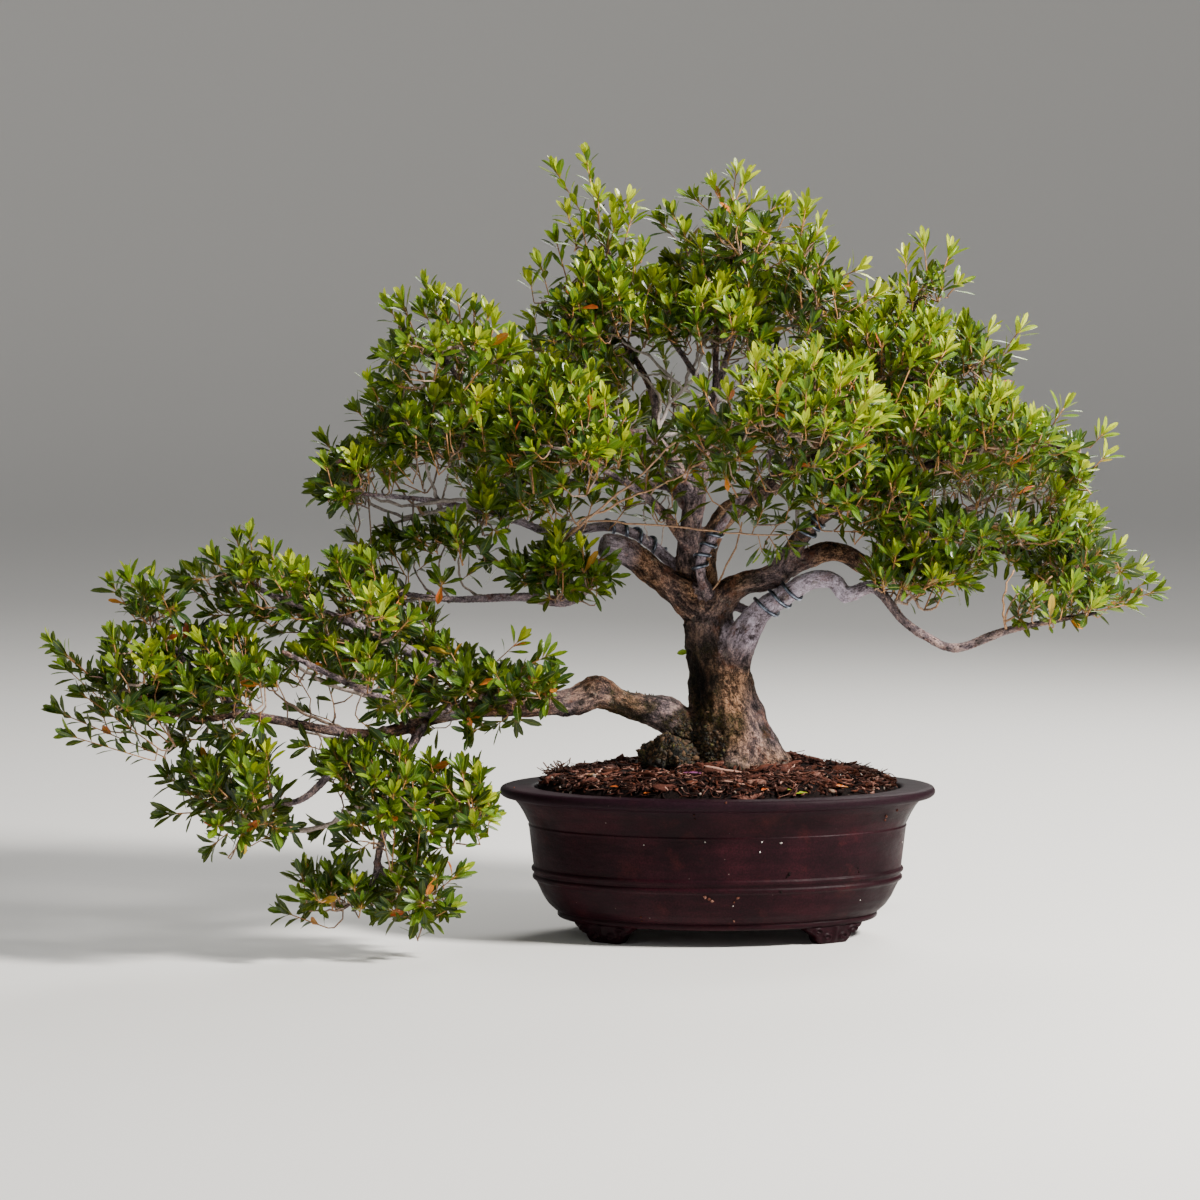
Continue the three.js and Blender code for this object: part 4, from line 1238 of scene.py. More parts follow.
def soil_seen(u, v):
    """The place on the soil that is seen at the pixel (u, v), or at the nearest one below it."""
    steps = np.linspace(3.9, 4.6, 1401)[:, None]  # metres from the camera
    while True:
        places = np.array(CAMERA_PLACE) + steps * seen_way(u, v)
        over = np.hypot(*soil_oval(places[:, 0], places[:, 1])) < SEEN_REACH
        below = over & (places[:, 2] < soil_height(places[:, 0], places[:, 1]))
        if below.any():
            return places[np.argmax(below)]
        v += 1


def add_lumps(pile, places, sizes, tints, rows=4, sides=7):
    """Small irregular stones, crumbs or tufts."""
    count = len(places)
    polar = (np.pi * (np.arange(rows) + 0.5) / rows)[:, None]
    angle = 2 * np.pi * np.arange(sides) / sides
    ball = np.stack([
        np.sin(polar) * np.cos(angle), np.sin(polar) * np.sin(angle), np.cos(polar) + 0 * angle,
    ], axis=-1)
    squash = rng.uniform(0.5, 1.2, (count, 1, 1, 3))
    points = ball * squash * (1 + rng.normal(0, 0.19, (count, rows, sides, 1)))
    turn = rng.uniform(0, 2 * np.pi, count)[:, None, None]
    x, y, z = np.moveaxis(points, -1, 0)
    points = np.stack([x * np.cos(turn) - z * np.sin(turn), y, x * np.sin(turn) + z * np.cos(turn)], -1)
    points = places[:, None, None] + points * sizes[:, None, None, None]
    pile.add(points, turned_over(*ring_faces(count, rows, sides)), tints[:, None, None])


# Stones on the soil: pixel in the view, and half size in millimetres.
STONES = [
    ((832, 794), 2.6), ((873, 792), 2.0), ((546, 784), 1.9), ((552, 781), 1.6), ((576, 777), 1.5),
    ((889, 781), 1.8), ((890, 788), 1.4), ((827, 780), 1.6), ((862, 786), 1.5), ((594, 779), 2.4),
    ((560, 790), 1.5), ((735, 795), 1.4), ((700, 797), 1.2), ((668, 777), 1.3), ((884, 791), 1.5),
    ((848, 798), 1.2), ((878, 778), 1.2), ((610, 795), 1.1), ((642, 781), 1.1),
]
# Leaves that have dropped on the soil: pixel, heading in degrees, length in millimetres, and where
# their colour lies from orange through red and yellow to purple.
DROPPED = [
    ((613, 791), 40, 13, 0.32), ((766, 793), 120, 12, 0.34), ((690, 777), 25, 24, 1.0),
    ((592, 779), 10, 14, 0.9), ((841, 791), 170, 15, 0.24), ((716, 796), 80, 8, 0.4),
    ((886, 778), 30, 9, 0.28), ((648, 797), 150, 8, 0.30),
]
GREEN_DROPPED = [((802, 797), 165, 13), ((790, 794), 110, 10)]
# Crumbs that stick to the pot's wall: pixel, half size in millimetres, and how dark.
CRUMBS = [
    ((705, 897), 1.6, 1.3), ((709, 899), 1.9, 0.9), ((712, 901), 1.3, 1.2), ((738, 898), 1.5, 1.0),
    ((734, 902), 1.1, 0.8), ((789, 874), 1.9, 0.0), ((787, 877), 1.3, 0.0), ((858, 868), 1.2, 0.0),
    ((859, 872), 1.1, 0.05), ((781, 892), 1.4, 0.0), ((886, 816), 1.4, 1.1), ((885, 820), 1.2, 1.0),
    ((897, 810), 1.2, 0.9), ((734, 921), 1.1, 1.1), ((641, 917), 1.1, 0.7), ((642, 921), 1.0, 0.8),
    ((726, 803), 1.5, 0.8), ((514, 788), 1.3, 1.3), ((694, 815), 1.0, 0.6), ((695, 819), 1.2, 0.4),
]
WHITE_SPECKS = [
    ((781, 843), 1.4), ((760, 852), 1.0), ((705, 842), 0.7), ((762, 842), 0.7), ((644, 845), 0.6),
    ((733, 906), 0.6), ((860, 900), 0.6), ((902, 842), 0.6),
]
CRUMB_LIFT = 0.3 * MM  # from the pot's wall to the middle of a crumb
SHORT_LEAF = 20  # millimetres; a longer dropped leaf is a narrow one


def make_stones(pot_skin):
    """Stones on the soil and white specks on the pot."""
    places = np.array([soil_seen(*spot) for spot, _ in STONES])
    loose = soil_places(LOOSE_STONES)
    places = np.vstack([places + [0, 0, 2.6 * MM], loose + [0, 0, 2.2 * MM]])
    sizes = np.array([size for _, size in STONES])
    sizes = np.r_[sizes, rng.uniform(0.6, 1.7, len(loose))] * MM
    dust = np.clip(rng.normal(0.72, 0.25, len(sizes)), 0, 1)
    stones = Pile()
    add_lumps(stones, places, sizes, grey(dust))
    places = np.array([seen_on(pot_skin, *spot, CRUMB_LIFT) for spot, _ in WHITE_SPECKS])
    sizes = np.array([size for _, size in WHITE_SPECKS]) * MM
    add_lumps(stones, places, sizes, 0 * places)
    stones.piece("soil_stones", STONE, "bark_mulch_soil")


def make_crumbs(pot_skin):
    """Crumbs of soil that stick to the pot."""
    places = np.array([seen_on(pot_skin, *spot, CRUMB_LIFT) for spot, _, _ in CRUMBS])
    sizes = np.array([size for _, size, _ in CRUMBS]) * MM
    tones = np.array([[0.75 * tone, 0.3 * tone, 0] for _, _, tone in CRUMBS])
    crumbs = Pile()
    add_lumps(crumbs, places, sizes, tones)
    crumbs.piece("pot_crumbs", MULCH, "bark_mulch_soil")


def make_dropped_leaves():
    """Leaves that lie on the mulch."""
    dropped = Pile()
    fallen = [(*row, 1.0) for row in DROPPED] + [(*row, 0.0, 0.0) for row in GREEN_DROPPED]
    for spot, heading, length, colour, autumn in fallen:
        turn = math.radians(heading)
        way = np.array([math.cos(turn), -math.sin(turn) * 0.9, 0.10])
        base = soil_seen(*spot) + [0, 0, 4.2 * MM] - way * length * MM / 2
        slim = 0.34 if length < SHORT_LEAF else 0.17
        add_leaf(dropped, base, way, (0.1, -0.35, 1.0), length * MM, slim, (0.75, autumn, colour))
    dropped.piece("leaves_dropped", LEAF, "azalea_leaf")


def make_litter():
    """Stones, crumbs and dropped leaves, each on the surface that carries it."""
    pot_skin = surface_of(pot_piece)
    make_stones(pot_skin)
    make_crumbs(pot_skin)
    make_dropped_leaves()


make_soil()
make_mulch()

# ---------------------------------------------------------------- foliage

LEAF_ROWS = np.array([0.0, 0.28, 0.60, 0.88, 1.0])
LEAF_WIDTHS = np.array([0.0, 0.52, 1.0, 0.66, 0.0])
GOLDEN_TURN = math.radians(137.5)


def leaf_pattern():
    """A leaf's points, as places along it, sides and half widths, and its faces: a base, three rows
    of three, a tip."""
    row = np.array([0, 1, 1, 1, 2, 2, 2, 3, 3, 3, 4])
    sides = np.array([0.0, -1, 0, 1, -1, 0, 1, -1, 0, 1, 0])
    threes = np.array([(0, 2, 1), (0, 3, 2), (7, 8, 10), (8, 9, 10)])
    fours = np.array([np.array([0, 1, 4, 3]) + first for first in (1, 2, 4, 5)])
    return LEAF_ROWS[row], sides, LEAF_WIDTHS[row], threes, fours


PATTERN = leaf_pattern()


def add_leaves(pile, base, way, up, length, width, tints):
    """Folded, curved leaves; `way` is a leaf's direction and `up` the side that faces the light."""
    rows, sides, widths, threes, fours = PATTERN
    count = len(base)
    up = unit(up - way * np.sum(up * way, 1)[:, None])
    beside = np.cross(way, up)
    curve = rng.normal(0.09, 0.10, count)[:, None]
    fold = rng.uniform(0.08, 0.45, count)[:, None]
    sway = rng.normal(0, 0.05, count)[:, None]
    long = length[:, None] * rows
    half = 0.5 * width[:, None] * widths * sides
    lift = np.abs(half) * fold - length[:, None] * curve * rows**2
    shift = half + length[:, None] * sway * rows**2
    points = (
        base[:, None] + long[..., None] * way[:, None] + shift[..., None] * beside[:, None]
        + lift[..., None] * up[:, None]
    )
    start = np.arange(count)[:, None, None] * len(rows)
    faces = [(start + pattern).reshape(-1, pattern.shape[1]) for pattern in (threes, fours)]
    pile.add(points, faces, tints[:, None], np.stack([rows, sides, 0 * rows], axis=-1))


def add_leaf(pile, base, way, up, length, slim, tint):
    """One leaf; `slim` is its width as a share of its length."""
    base, way, up, tint = (np.array([row], float) for row in (base, way, up, tint))
    long = np.array([length])
    add_leaves(pile, base, unit(way), up, long, long * slim, tint)


def across_pair(axis):
    """Two directions at right angles to each axis and to each other."""
    helper = np.where(np.abs(axis[:, 2:]) < 0.8, [[0.0, 0.0, 1.0]], [[1.0, 0.0, 0.0]])
    first = unit(np.cross(axis, helper))
    return first, np.cross(axis, first)


# Leaf lengths in millimetres: on the stem, and at the whorl's outside and middle.
STEM_LEAF, OUTER_LEAF, INNER_LEAF = 20.5, 23.5, 16.5
WHORL_DEPTH = 9 * MM  # the stretch of the stem that the whorl's leaves spring from
MANY_LEAVES = 9  # a shoot with more single leaves than this has shorter and broader ones


def add_shoots(pile, tips, axes, stems, tones, whorl, lower, spread):
    """Leaves of each shoot: a whorl at its tip and single leaves spiralling up its stem. `spread` is
    how far the whorl's outer and inner leaves lean from the stem, in degrees."""
    count = len(tips)
    first, second = across_pair(axes)
    start = rng.uniform(0, 2 * np.pi, count)
    slim = 1 - 0.2 * np.clip((tips[:, 0] - 0.05) / 0.12, 0, 1)
    front = np.clip(0.85 - tips[:, 1:2] / 0.12, 0, 1)
    light = 0.45 * unit(tips - CROWN_MIDDLE) + [0, 0, 0.2] + front * [0.14, -0.38, 0.1]
    on_long = lower > MANY_LEAVES
    for k in range(lower + whorl):
        part = max(0.0, (k - lower) / (whorl - 1))
        on_stem = k < lower
        keep = rng.random(count) < (0.85 if on_stem or part < 0.2 else 1.0)
        turn = (start + k * GOLDEN_TURN + rng.normal(0, 0.25, count))[:, None]
        angle = spread[0] + (spread[1] - spread[0]) * part**0.8
        lean = np.radians(angle + rng.normal(0, 9, count))[:, None]
        radial = np.cos(turn) * first + np.sin(turn) * second
        way = unit(np.cos(lean) * axes + np.sin(lean) * radial + [0, 0, 0.07])
        up = np.sin(lean) * axes - np.cos(lean) * radial + light + rng.normal(0, 0.2, (count, 3))
        usual = STEM_LEAF if on_stem else OUTER_LEAF - (OUTER_LEAF - INNER_LEAF) * part**1.3
        length = usual * rng.uniform(0.78, 1.16, count) * MM * (0.88 if on_long else 1)
        width = length * (rng.uniform(0.25, 0.36, count) + 0.06 * on_long) * slim
        if on_stem:
            down = WHORL_DEPTH + (0.94 * stems - WHORL_DEPTH) * (1 - k / lower)
        else:
            down = np.minimum(stems, WHORL_DEPTH) * (1 - part) ** 1.2
        base = tips - axes * down[:, None]
        tone = np.clip(tones + 0.42 * part - 0.23 + rng.normal(0, 0.14, count), 0, 1)
        autumn = (rng.random(count) < (0.012 if part < 0.3 else 0.001)) * 1.0
        tints = np.stack([tone, autumn, rng.random(count)], axis=-1)
        add_leaves(pile, base[keep], way[keep], up[keep], length[keep], width[keep], tints[keep])


def spiral_directions(count):
    """Evenly spread directions over a ball."""
    z = 1 - 2 * (np.arange(count) + 0.5) / count
    turn = GOLDEN_TURN * np.arange(count)
    flat = np.sqrt(1 - z * z)
    return np.stack([flat * np.cos(turn), flat * np.sin(turn), z], axis=-1)


# The tree's outline in the view, in pixels, from the low left tip round by the top.
OUTLINE = [
    (80, 668), (104, 612), (106, 574), (150, 568), (188, 576), (204, 548), (240, 530), (268, 544),
    (300, 558), (312, 520), (305, 480), (318, 440), (350, 408), (352, 368), (385, 320), (405, 318),
    (428, 312), (478, 318), (500, 330), (526, 328), (524, 298), (540, 280), (566, 262), (575, 240),
    (600, 226), (640, 230), (668, 240), (690, 222), (705, 200), (735, 190), (770, 205), (805, 225),
    (830, 258), (862, 280), (885, 290), (895, 262), (925, 250), (955, 262), (965, 300), (1010, 345),
    (1016, 385), (1070, 410), (1098, 440), (1096, 475), (1110, 532), (1140, 566), (1146, 590),
    (1096, 624), (1020, 625), (985, 606), (905, 612), (868, 588), (820, 560), (790, 575), (740, 540),
    (700, 508), (650, 520), (632, 575), (620, 602), (560, 612), (520, 592), (480, 604), (440, 612),
    (440, 628), (500, 636), (575, 660), (550, 708), (530, 745), (495, 768), (494, 824), (440, 860),
    (460, 880), (460, 930), (400, 930), (340, 936), (288, 918), (280, 888), (300, 856), (270, 842),
    (215, 852), (176, 800), (152, 768), (96, 736),
]
# Openings in the foliage through which bare limbs and twigs are seen, in the same pixels.
OPENINGS = [
    [(632, 345), (660, 336), (700, 328), (745, 340), (760, 378), (738, 410), (690, 414), (632, 408),
     (622, 375)],
    [(352, 480), (380, 472), (405, 456), (430, 450), (466, 458), (480, 476), (474, 504), (440, 514),
     (400, 518), (364, 508)],
    [(374, 560), (400, 548), (430, 546), (468, 550), (490, 574), (490, 592), (440, 595), (400, 596)],
    [(454, 516), (490, 511), (524, 522), (552, 536), (524, 555), (486, 545), (458, 538)],
    [(925, 486), (960, 480), (1048, 488), (1060, 506), (1030, 524), (985, 514), (930, 506)],
    [(786, 520), (830, 512), (868, 530), (872, 560), (840, 580), (786, 575)],
    [(250, 690), (300, 676), (360, 688), (368, 728), (326, 744), (272, 730)],
    [(262, 762), (304, 752), (322, 782), (352, 796), (354, 816), (300, 830), (282, 796)],
    [(580, 514), (642, 514), (650, 562), (606, 566), (584, 546)],
    [(310, 590), (345, 596), (372, 622), (350, 632), (315, 612)],
    [(274, 647), (300, 657), (350, 680), (388, 690), (388, 706), (345, 701), (290, 676)],
]


def inside_outline(places, outline):
    """True where a place falls inside the outline in the view."""
    u, v = seen_pixels(places).T
    inside = np.zeros(len(u), bool)
    for (u0, v0), (u1, v1) in zip(outline, outline[1:] + outline[:1]):
        spans = (v0 > v) != (v1 > v)
        inside ^= spans & (u < (u1 - u0) * (v - v0) / (v1 - v0 + 1e-9) + u0)
    return inside


SHOOT_SPACING = 21.8 * MM
SPREAD = 1.16  # how far a pad's shoots may stand past the node's own box
CROWN_MIDDLE = placed([0, 0, 250])
PADS = sorted(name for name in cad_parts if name.startswith("foliage_"))
pad_middle = {name: np.array((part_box(name)[0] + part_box(name)[1]) / 2) for name in PADS}
pad_half = {name: np.array((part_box(name)[1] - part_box(name)[0]) / 2) for name in PADS}
INNER_SHOOTS = 0.36  # inside a pad, for each one at its outside
LOW_SHOOTS = 0.35  # the share of the shoots at a pad's underside that are kept
OUTLINE_STEPS = np.array([-16.0, 0.0, 12.0, 24.0]) * MM  # from a shoot's tip, all inside the outline
BACK_PAD = 60 * MM  # pads whose middle is further back than this fill the openings more
OPEN_SHARE, OPEN_SHARE_BACK = 0.94, 0.82  # of the shoots in an opening, the share that is left out


def depth_in_others(places, own):
    """How deep each place is inside the other pads: below 1 is inside the nearest."""
    least = np.full(len(places), 9.0)
    for name in PADS:
        if name != own:
            inside = np.linalg.norm((places - pad_middle[name]) / pad_half[name], axis=1)
            least = np.minimum(least, inside)
    return least


def pad_shoots(name):
    """Tips, directions and stem lengths of a pad's shoots, denser towards its top and outside."""
    middle, half = pad_middle[name], pad_half[name]
    spacing = SHOOT_SPACING * (1.16 if "cascade" in name else 1.0)
    mean = SPREAD * half.mean()
    outer = int(4 * np.pi * mean**2 / spacing**2)
    inner = int(outer * INNER_SHOOTS)
    outward = np.vstack([spiral_directions(outer), spiral_directions(inner)])
    outward = unit(outward + rng.normal(0, 0.12, outward.shape))
    shell = np.r_[rng.uniform(0.72, 1.0, outer), rng.uniform(0.28, 0.64, inner)]
    tips = middle + outward * half * SPREAD * shell[:, None]
    tips = tips + rng.normal(0, 3.5, tips.shape) * MM
    count = len(tips)
    tall = rng.random(count) < 0.26
    stems = np.where(tall, rng.uniform(26, 44, count), rng.uniform(10, 20, count)) * MM
    flatter = outward.copy()
    flatter[:, 2] = np.where(outward[:, 2] < 0, 0.2 * outward[:, 2], outward[:, 2])
    away = unit(tips - CROWN_MIDDLE)
    axes = 0.52 * flatter + 0.38 * away + rng.normal(0, 0.22, tips.shape)
    axes[:, 2] += np.where(outward[:, 2] < -0.05, 0.12, 0.72)
    axes = unit(axes)
    own = np.linalg.norm((tips - middle) / half, axis=1)
    keep = own <= depth_in_others(tips, name) + 0.04
    keep &= (outward[:, 2] > -0.30) | (rng.random(count) < LOW_SHOOTS)
    for step in OUTLINE_STEPS:
        keep &= inside_outline(tips + axes * step, OUTLINE)
    open_share = OPEN_SHARE_BACK if middle[1] > BACK_PAD else OPEN_SHARE
    for opening in OPENINGS:
        seen = inside_outline(tips, opening) | inside_outline(tips + axes * 9 * MM, opening)
        keep &= ~seen | (rng.random(count) > open_share)
    keep &= (tips[:, 2] > 32 * MM) & (np.abs(tips[:, 1]) < cad_box[1][1] - 5 * MM)
    return tips[keep], axes[keep], stems[keep], outward[keep], shell[keep]


# Long leafy shoots by the pad that they spring from: the shoot's tip and the foot of its leafy part
# in the view, in pixels, and how far in front of the pad's middle it stands, in millimetres.
LONG_SHOOTS = {
    "apex_shoots": [
        (586, 158, 602, 242, 0), (555, 170, 603, 248, -4), (627, 204, 609, 247, 4),
        (575, 240, 577, 264, 10), (615, 226, 608, 252, 12), (531, 283, 534, 302, 6),
        (600, 262, 606, 292, 18), (642, 250, 640, 280, 10), (567, 212, 582, 262, 6),
        (582, 226, 592, 272, 14), (556, 240, 568, 284, 10), (541, 266, 550, 300, 12),
        (632, 218, 618, 264, 14), (598, 196, 600, 240, 8), (612, 210, 606, 256, 2),
    ],
    "apex_crown": [
        (736, 172, 729, 228, 0), (745, 180, 730, 214, 10), (755, 200, 733, 224, -8),
        (714, 186, 727, 216, 6), (694, 198, 721, 222, -6), (660, 222, 682, 246, 0),
        (672, 214, 690, 244, 8), (786, 212, 770, 248, 6), (684, 232, 688, 256, 14),
        (776, 206, 748, 232, 4), (806, 216, 798, 244, -4), (700, 246, 706, 280, 22),
        (760, 240, 750, 276, 20),
    ],
    "apex_right": [
        (814, 240, 800, 272, 0), (858, 270, 830, 280, 0), (792, 262, 784, 296, 16),
        (806, 206, 798, 250, 2), (830, 250, 812, 284, 8), (820, 226, 806, 262, 6),
    ],
    "right_crest": [(826, 298, 860, 376, 24), (880, 300, 884, 336, 10), (846, 330, 866, 370, 30)],
    "right_tuft": [
        (924, 244, 930, 300, 0), (905, 260, 911, 306, 6), (949, 254, 935, 296, -6),
        (958, 284, 938, 306, 4), (900, 292, 908, 316, 12),
    ],
    "right_shoulder": [
        (1020, 330, 1008, 346, 0), (988, 332, 980, 350, 8), (1012, 350, 984, 366, 16),
        (1000, 376, 980, 396, 12),
    ],
    "right_upper": [
        (913, 362, 894, 406, 30), (946, 350, 928, 380, 26), (990, 404, 972, 436, 30),
        (1030, 420, 1004, 448, 26), (930, 420, 916, 452, 34),
    ],
    "right_tip": [
        (1103, 434, 1088, 450, 0), (1105, 456, 1092, 470, 6), (1064, 408, 1048, 432, 0),
        (1082, 470, 1064, 486, 10),
    ],
    "right_middle": [(1000, 530, 976, 556, 24), (1036, 540, 1012, 566, 22)],
    "right_end": [
        (1154, 592, 1108, 606, 4), (1138, 570, 1098, 598, 10), (1130, 604, 1092, 612, 12),
        (1146, 582, 1112, 604, 0), (1116, 550, 1096, 572, 8), (1092, 520, 1072, 546, 12),
        (1064, 540, 1046, 572, 16),
    ],
    "right_low": [(884, 540, 882, 590, 18), (920, 546, 906, 590, 20), (936, 570, 916, 600, 10)],
    "left_crest": [
        (432, 304, 454, 350, 4), (424, 312, 448, 356, 12), (405, 328, 430, 366, 6),
        (494, 324, 488, 352, 0), (469, 342, 472, 380, 16), (411, 358, 433, 398, 14),
        (370, 382, 388, 420, 6), (510, 340, 500, 372, 10), (426, 286, 446, 342, 0),
        (441, 298, 453, 348, 8), (458, 300, 464, 352, 6), (474, 308, 474, 352, 10),
        (389, 306, 414, 354, 4), (488, 314, 485, 352, 12), (447, 318, 458, 364, 16),
        (403, 304, 421, 350, 10),
    ],
    "left_shoulder": [(408, 424, 432, 452, 30), (452, 430, 460, 460, 36), (356, 410, 380, 436, 10)],
    "left_tip": [(327, 444, 346, 470, 0), (322, 488, 352, 504, 6), (340, 462, 366, 482, 12)],
    "left_front": [(566, 430, 556, 476, 20), (530, 452, 534, 494, 26), (596, 452, 586, 496, 20)],
    "cascade_crest": [
        (250, 536, 255, 572, 0), (237, 540, 258, 618, 8), (215, 560, 262, 626, 14),
        (200, 572, 232, 616, 6), (186, 584, 222, 614, -6), (270, 552, 286, 586, 4),
        (290, 566, 300, 600, 12),
    ],
    "cascade_tuft": [
        (113, 586, 140, 626, 0), (129, 578, 146, 624, 8), (153, 580, 160, 618, -4),
        (142, 590, 152, 630, 14),
    ],
    "cascade_tip": [
        (52, 644, 168, 742, 0), (64, 652, 150, 730, 8), (110, 652, 174, 744, 10),
        (82, 694, 158, 748, 16), (58, 712, 164, 757, 4), (70, 736, 150, 760, 20),
        (66, 668, 120, 716, -12),
    ],
    "cascade_left": [
        (146, 634, 175, 730, 18), (164, 634, 178, 712, 26), (194, 684, 206, 736, 34),
        (212, 664, 194, 716, 30), (178, 650, 190, 700, 10),
    ],
    "cascade_lower_left": [
        (168, 814, 206, 812, 0), (240, 750, 252, 802, 20), (206, 770, 216, 806, 10),
        (186, 792, 212, 806, 16), (212, 846, 232, 830, 6),
    ],
    "cascade_lower": [
        (334, 752, 374, 840, 30), (364, 762, 390, 864, 38), (400, 750, 392, 872, 34),
        (280, 790, 284, 824, 20), (420, 828, 415, 876, 20),
    ],
    "cascade_foot_left": [(302, 896, 316, 926, 6), (284, 912, 328, 928, 0), (330, 896, 336, 926, 14)],
    "cascade_foot_right": [(458, 874, 424, 902, 4), (452, 908, 428, 920, 10), (400, 880, 396, 912, 16)],
    "cascade_right": [(488, 818, 462, 830, 4), (482, 802, 458, 822, 10)],
    "cascade_inner": [(548, 656, 522, 668, 10), (518, 642, 492, 666, 0), (540, 690, 512, 694, 16)],
}


def long_shoots(name):
    """Tips, directions and stem lengths of the pad's listed long shoots."""
    made = []
    for tip_u, tip_v, foot_u, foot_v, forward in LONG_SHOOTS.get(name.replace("foliage_", ""), ()):
        y = pad_middle[name][1] - forward * MM
        top, foot = seen_place(tip_u, tip_v, y), seen_place(foot_u, foot_v, y + 0.006)
        made.append((top, unit(top - foot), np.linalg.norm(top - foot)))
    return made


# The way to the key light: the leaves of shoots that face it are painted lighter.
LIGHT_WAY = unit(np.array([0.45, -0.25, 0.86]))


def leaf_tone_and_painted_light(places, outward, shell):
    """How light and yellow a shoot's leaves are: painted light makes shoots that face the key light
    lighter, and higher ones, partly as young growth; painted shade darkens shoots deep in a pad.
    """
    facing = outward @ LIGHT_WAY
    height = np.clip((places[:, 2] - 0.18) / 0.40, -0.35, 1)
    right = np.clip((places[:, 0] + 0.25) / 0.6, 0, 1)
    # Painted light on shoots facing the key light and higher up; painted shade on those deep inside.
    tone = 0.29 + 0.28 * facing + 0.23 * height - 0.03 * right
    tone = tone + rng.normal(0, 0.06, len(places))
    return tone - 0.29 * (shell < 0.66) + 0.18 * noise(places, 0.05, 31)


TIP_RADIUS = 0.58 * MM  # of a twig where it carries its shoot
THICKEST_TWIG = 2.5 * MM


def twig_skeleton(tips, axes, stems, roots):
    """Paths that join each tip to the limb or to a nearer twig, and how many hang on each."""
    ends = tips - axes * stems[:, None]
    nodes = [*roots]
    owner = [-1] * len(roots)
    joints = []
    order = np.argsort([np.min(np.linalg.norm(roots - end, axis=1)) for end in ends])
    for shoot in order:
        spread = np.linalg.norm(np.array(nodes) - ends[shoot], axis=1)
        spread = spread + np.where(np.array(owner) < 0, 0.0, 0.010)
        found = int(np.argmin(np.where(spread < 0.008, 1.0, spread)))
        start = nodes[found]
        gap = np.linalg.norm(ends[shoot] - start)
        bend = ends[shoot] - axes[shoot] * min(0.4 * gap, 16 * MM) + [0, 0, -0.08 * gap]
        bend[2] = max(bend[2], min(start[2], ends[shoot][2]) - 2.5 * MM)
        part = np.linspace(0, 1, 4)[:, None]
        path = (1 - part) ** 2 * start + 2 * part * (1 - part) * bend + part**2 * ends[shoot]
        joints.append([shoot, owner[found], path])
        nodes += [*path[1:]]
        owner += [len(joints) - 1] * 3
    load = np.ones(len(joints))
    for i in range(len(joints) - 1, -1, -1):
        if joints[i][1] >= 0:
            load[joints[i][1]] += load[i]
    paths = np.array([np.vstack([path, tips[shoot]]) for shoot, _, path in joints])
    return paths, load


lines = all_lines(7 * MM)
limb_places = np.concatenate([line for name, (line, _) in lines.items() if name != "trunk"])
twig_piles = {}
grown = []  # tips and directions of all shoots, pad by pad
# By the stem's length in millimetres, from and to: the leaves of the whorl, the single leaves below
# it, and how far the whorl leans out and in, in degrees.
SHOOT_KINDS = [
    (0, 22, 10, 0, (70, 14)), (22, 50, 9, 5, (54, 13)), (50, 75, 8, 11, (42, 12)),
    (75, 400, 8, 18, (42, 12)),
]


def share_above(tips, ends, roots):
    """How much of each upright stem stands above the limb that is nearest to its foot."""
    apart = np.linalg.norm(ends[:, None] - roots, axis=2)
    near = roots[np.argmin(apart, axis=1), 2]
    share = (tips[:, 2] - near) / np.maximum(tips[:, 2] - ends[:, 2], 1 * MM)
    hangs = (apart.min(axis=1) < 34 * MM) & (ends[:, 2] < near) & (tips[:, 2] > near + 6 * MM)
    return np.where(hangs, np.clip(share, 0.3, 1), 1.0)


def make_pad(name):
    """The leaves of one pad, which stand for its node, and the twigs that carry them."""
    tips, axes, stems, outward, shell = pad_shoots(name)
    for tip, axis, stem in long_shoots(name):
        tips, axes, stems = np.vstack([tips, tip]), np.vstack([axes, axis]), np.r_[stems, stem]
        outward, shell = np.vstack([outward, axis]), np.r_[shell, 1.0]
    inside = np.linalg.norm((limb_places - pad_middle[name]) / pad_half[name], axis=1)
    roots = limb_places[inside <= max(0.95, np.sort(inside)[2])]
    stems = stems * share_above(tips, tips - axes * stems[:, None], roots)
    grown.append((tips, axes))
    tones = leaf_tone_and_painted_light(tips, outward, shell)
    leaves = Pile()
    for least, most, whorl, lower, spread in SHOOT_KINDS:
        kind = (stems >= least * MM) & (stems < most * MM)
        if kind.any():
            add_shoots(leaves, tips[kind], axes[kind], stems[kind], tones[kind], whorl, lower, spread)
    leaves.piece(name.replace("foliage_", "leaves_"), LEAF, "azalea_leaf", name)

    side = "cascade" if "cascade" in name else name.split("_")[1]
    add_twigs(side, tips, axes, stems, roots)


def add_twigs(side, tips, axes, stems, roots):
    """Twigs from the roots to the shoots' tips, put on the pile of that side of the tree."""
    paths, load = twig_skeleton(tips, axes, stems, roots)
    jitter = rng.normal(0, 1.5 * MM, paths.shape) * np.array([0, 1, 1, 0, 0])[:, None]
    carried = np.sqrt(load)[:, None]
    thick = np.minimum(TIP_RADIUS + 0.40 * MM * carried, THICKEST_TWIG)
    part = np.linspace(0, 1, 5)
    radii = thick * (1 - part) + TIP_RADIUS * part
    young = 0.55 if side == "right" else 0.35
    youth = np.clip(part**1.5 * 1.1 - 0.12 * carried + young, 0, 1)
    pile = twig_piles.setdefault(side, Pile())
    for sides, kind in ((3, load < 4), (5, load >= 4)):
        if kind.any():
            points, faces = tubes((paths + jitter)[kind], radii[kind], sides)
            pile.add(points, faces, first_only(youth[kind])[:, :, None])


for name in PADS:
    make_pad(name)

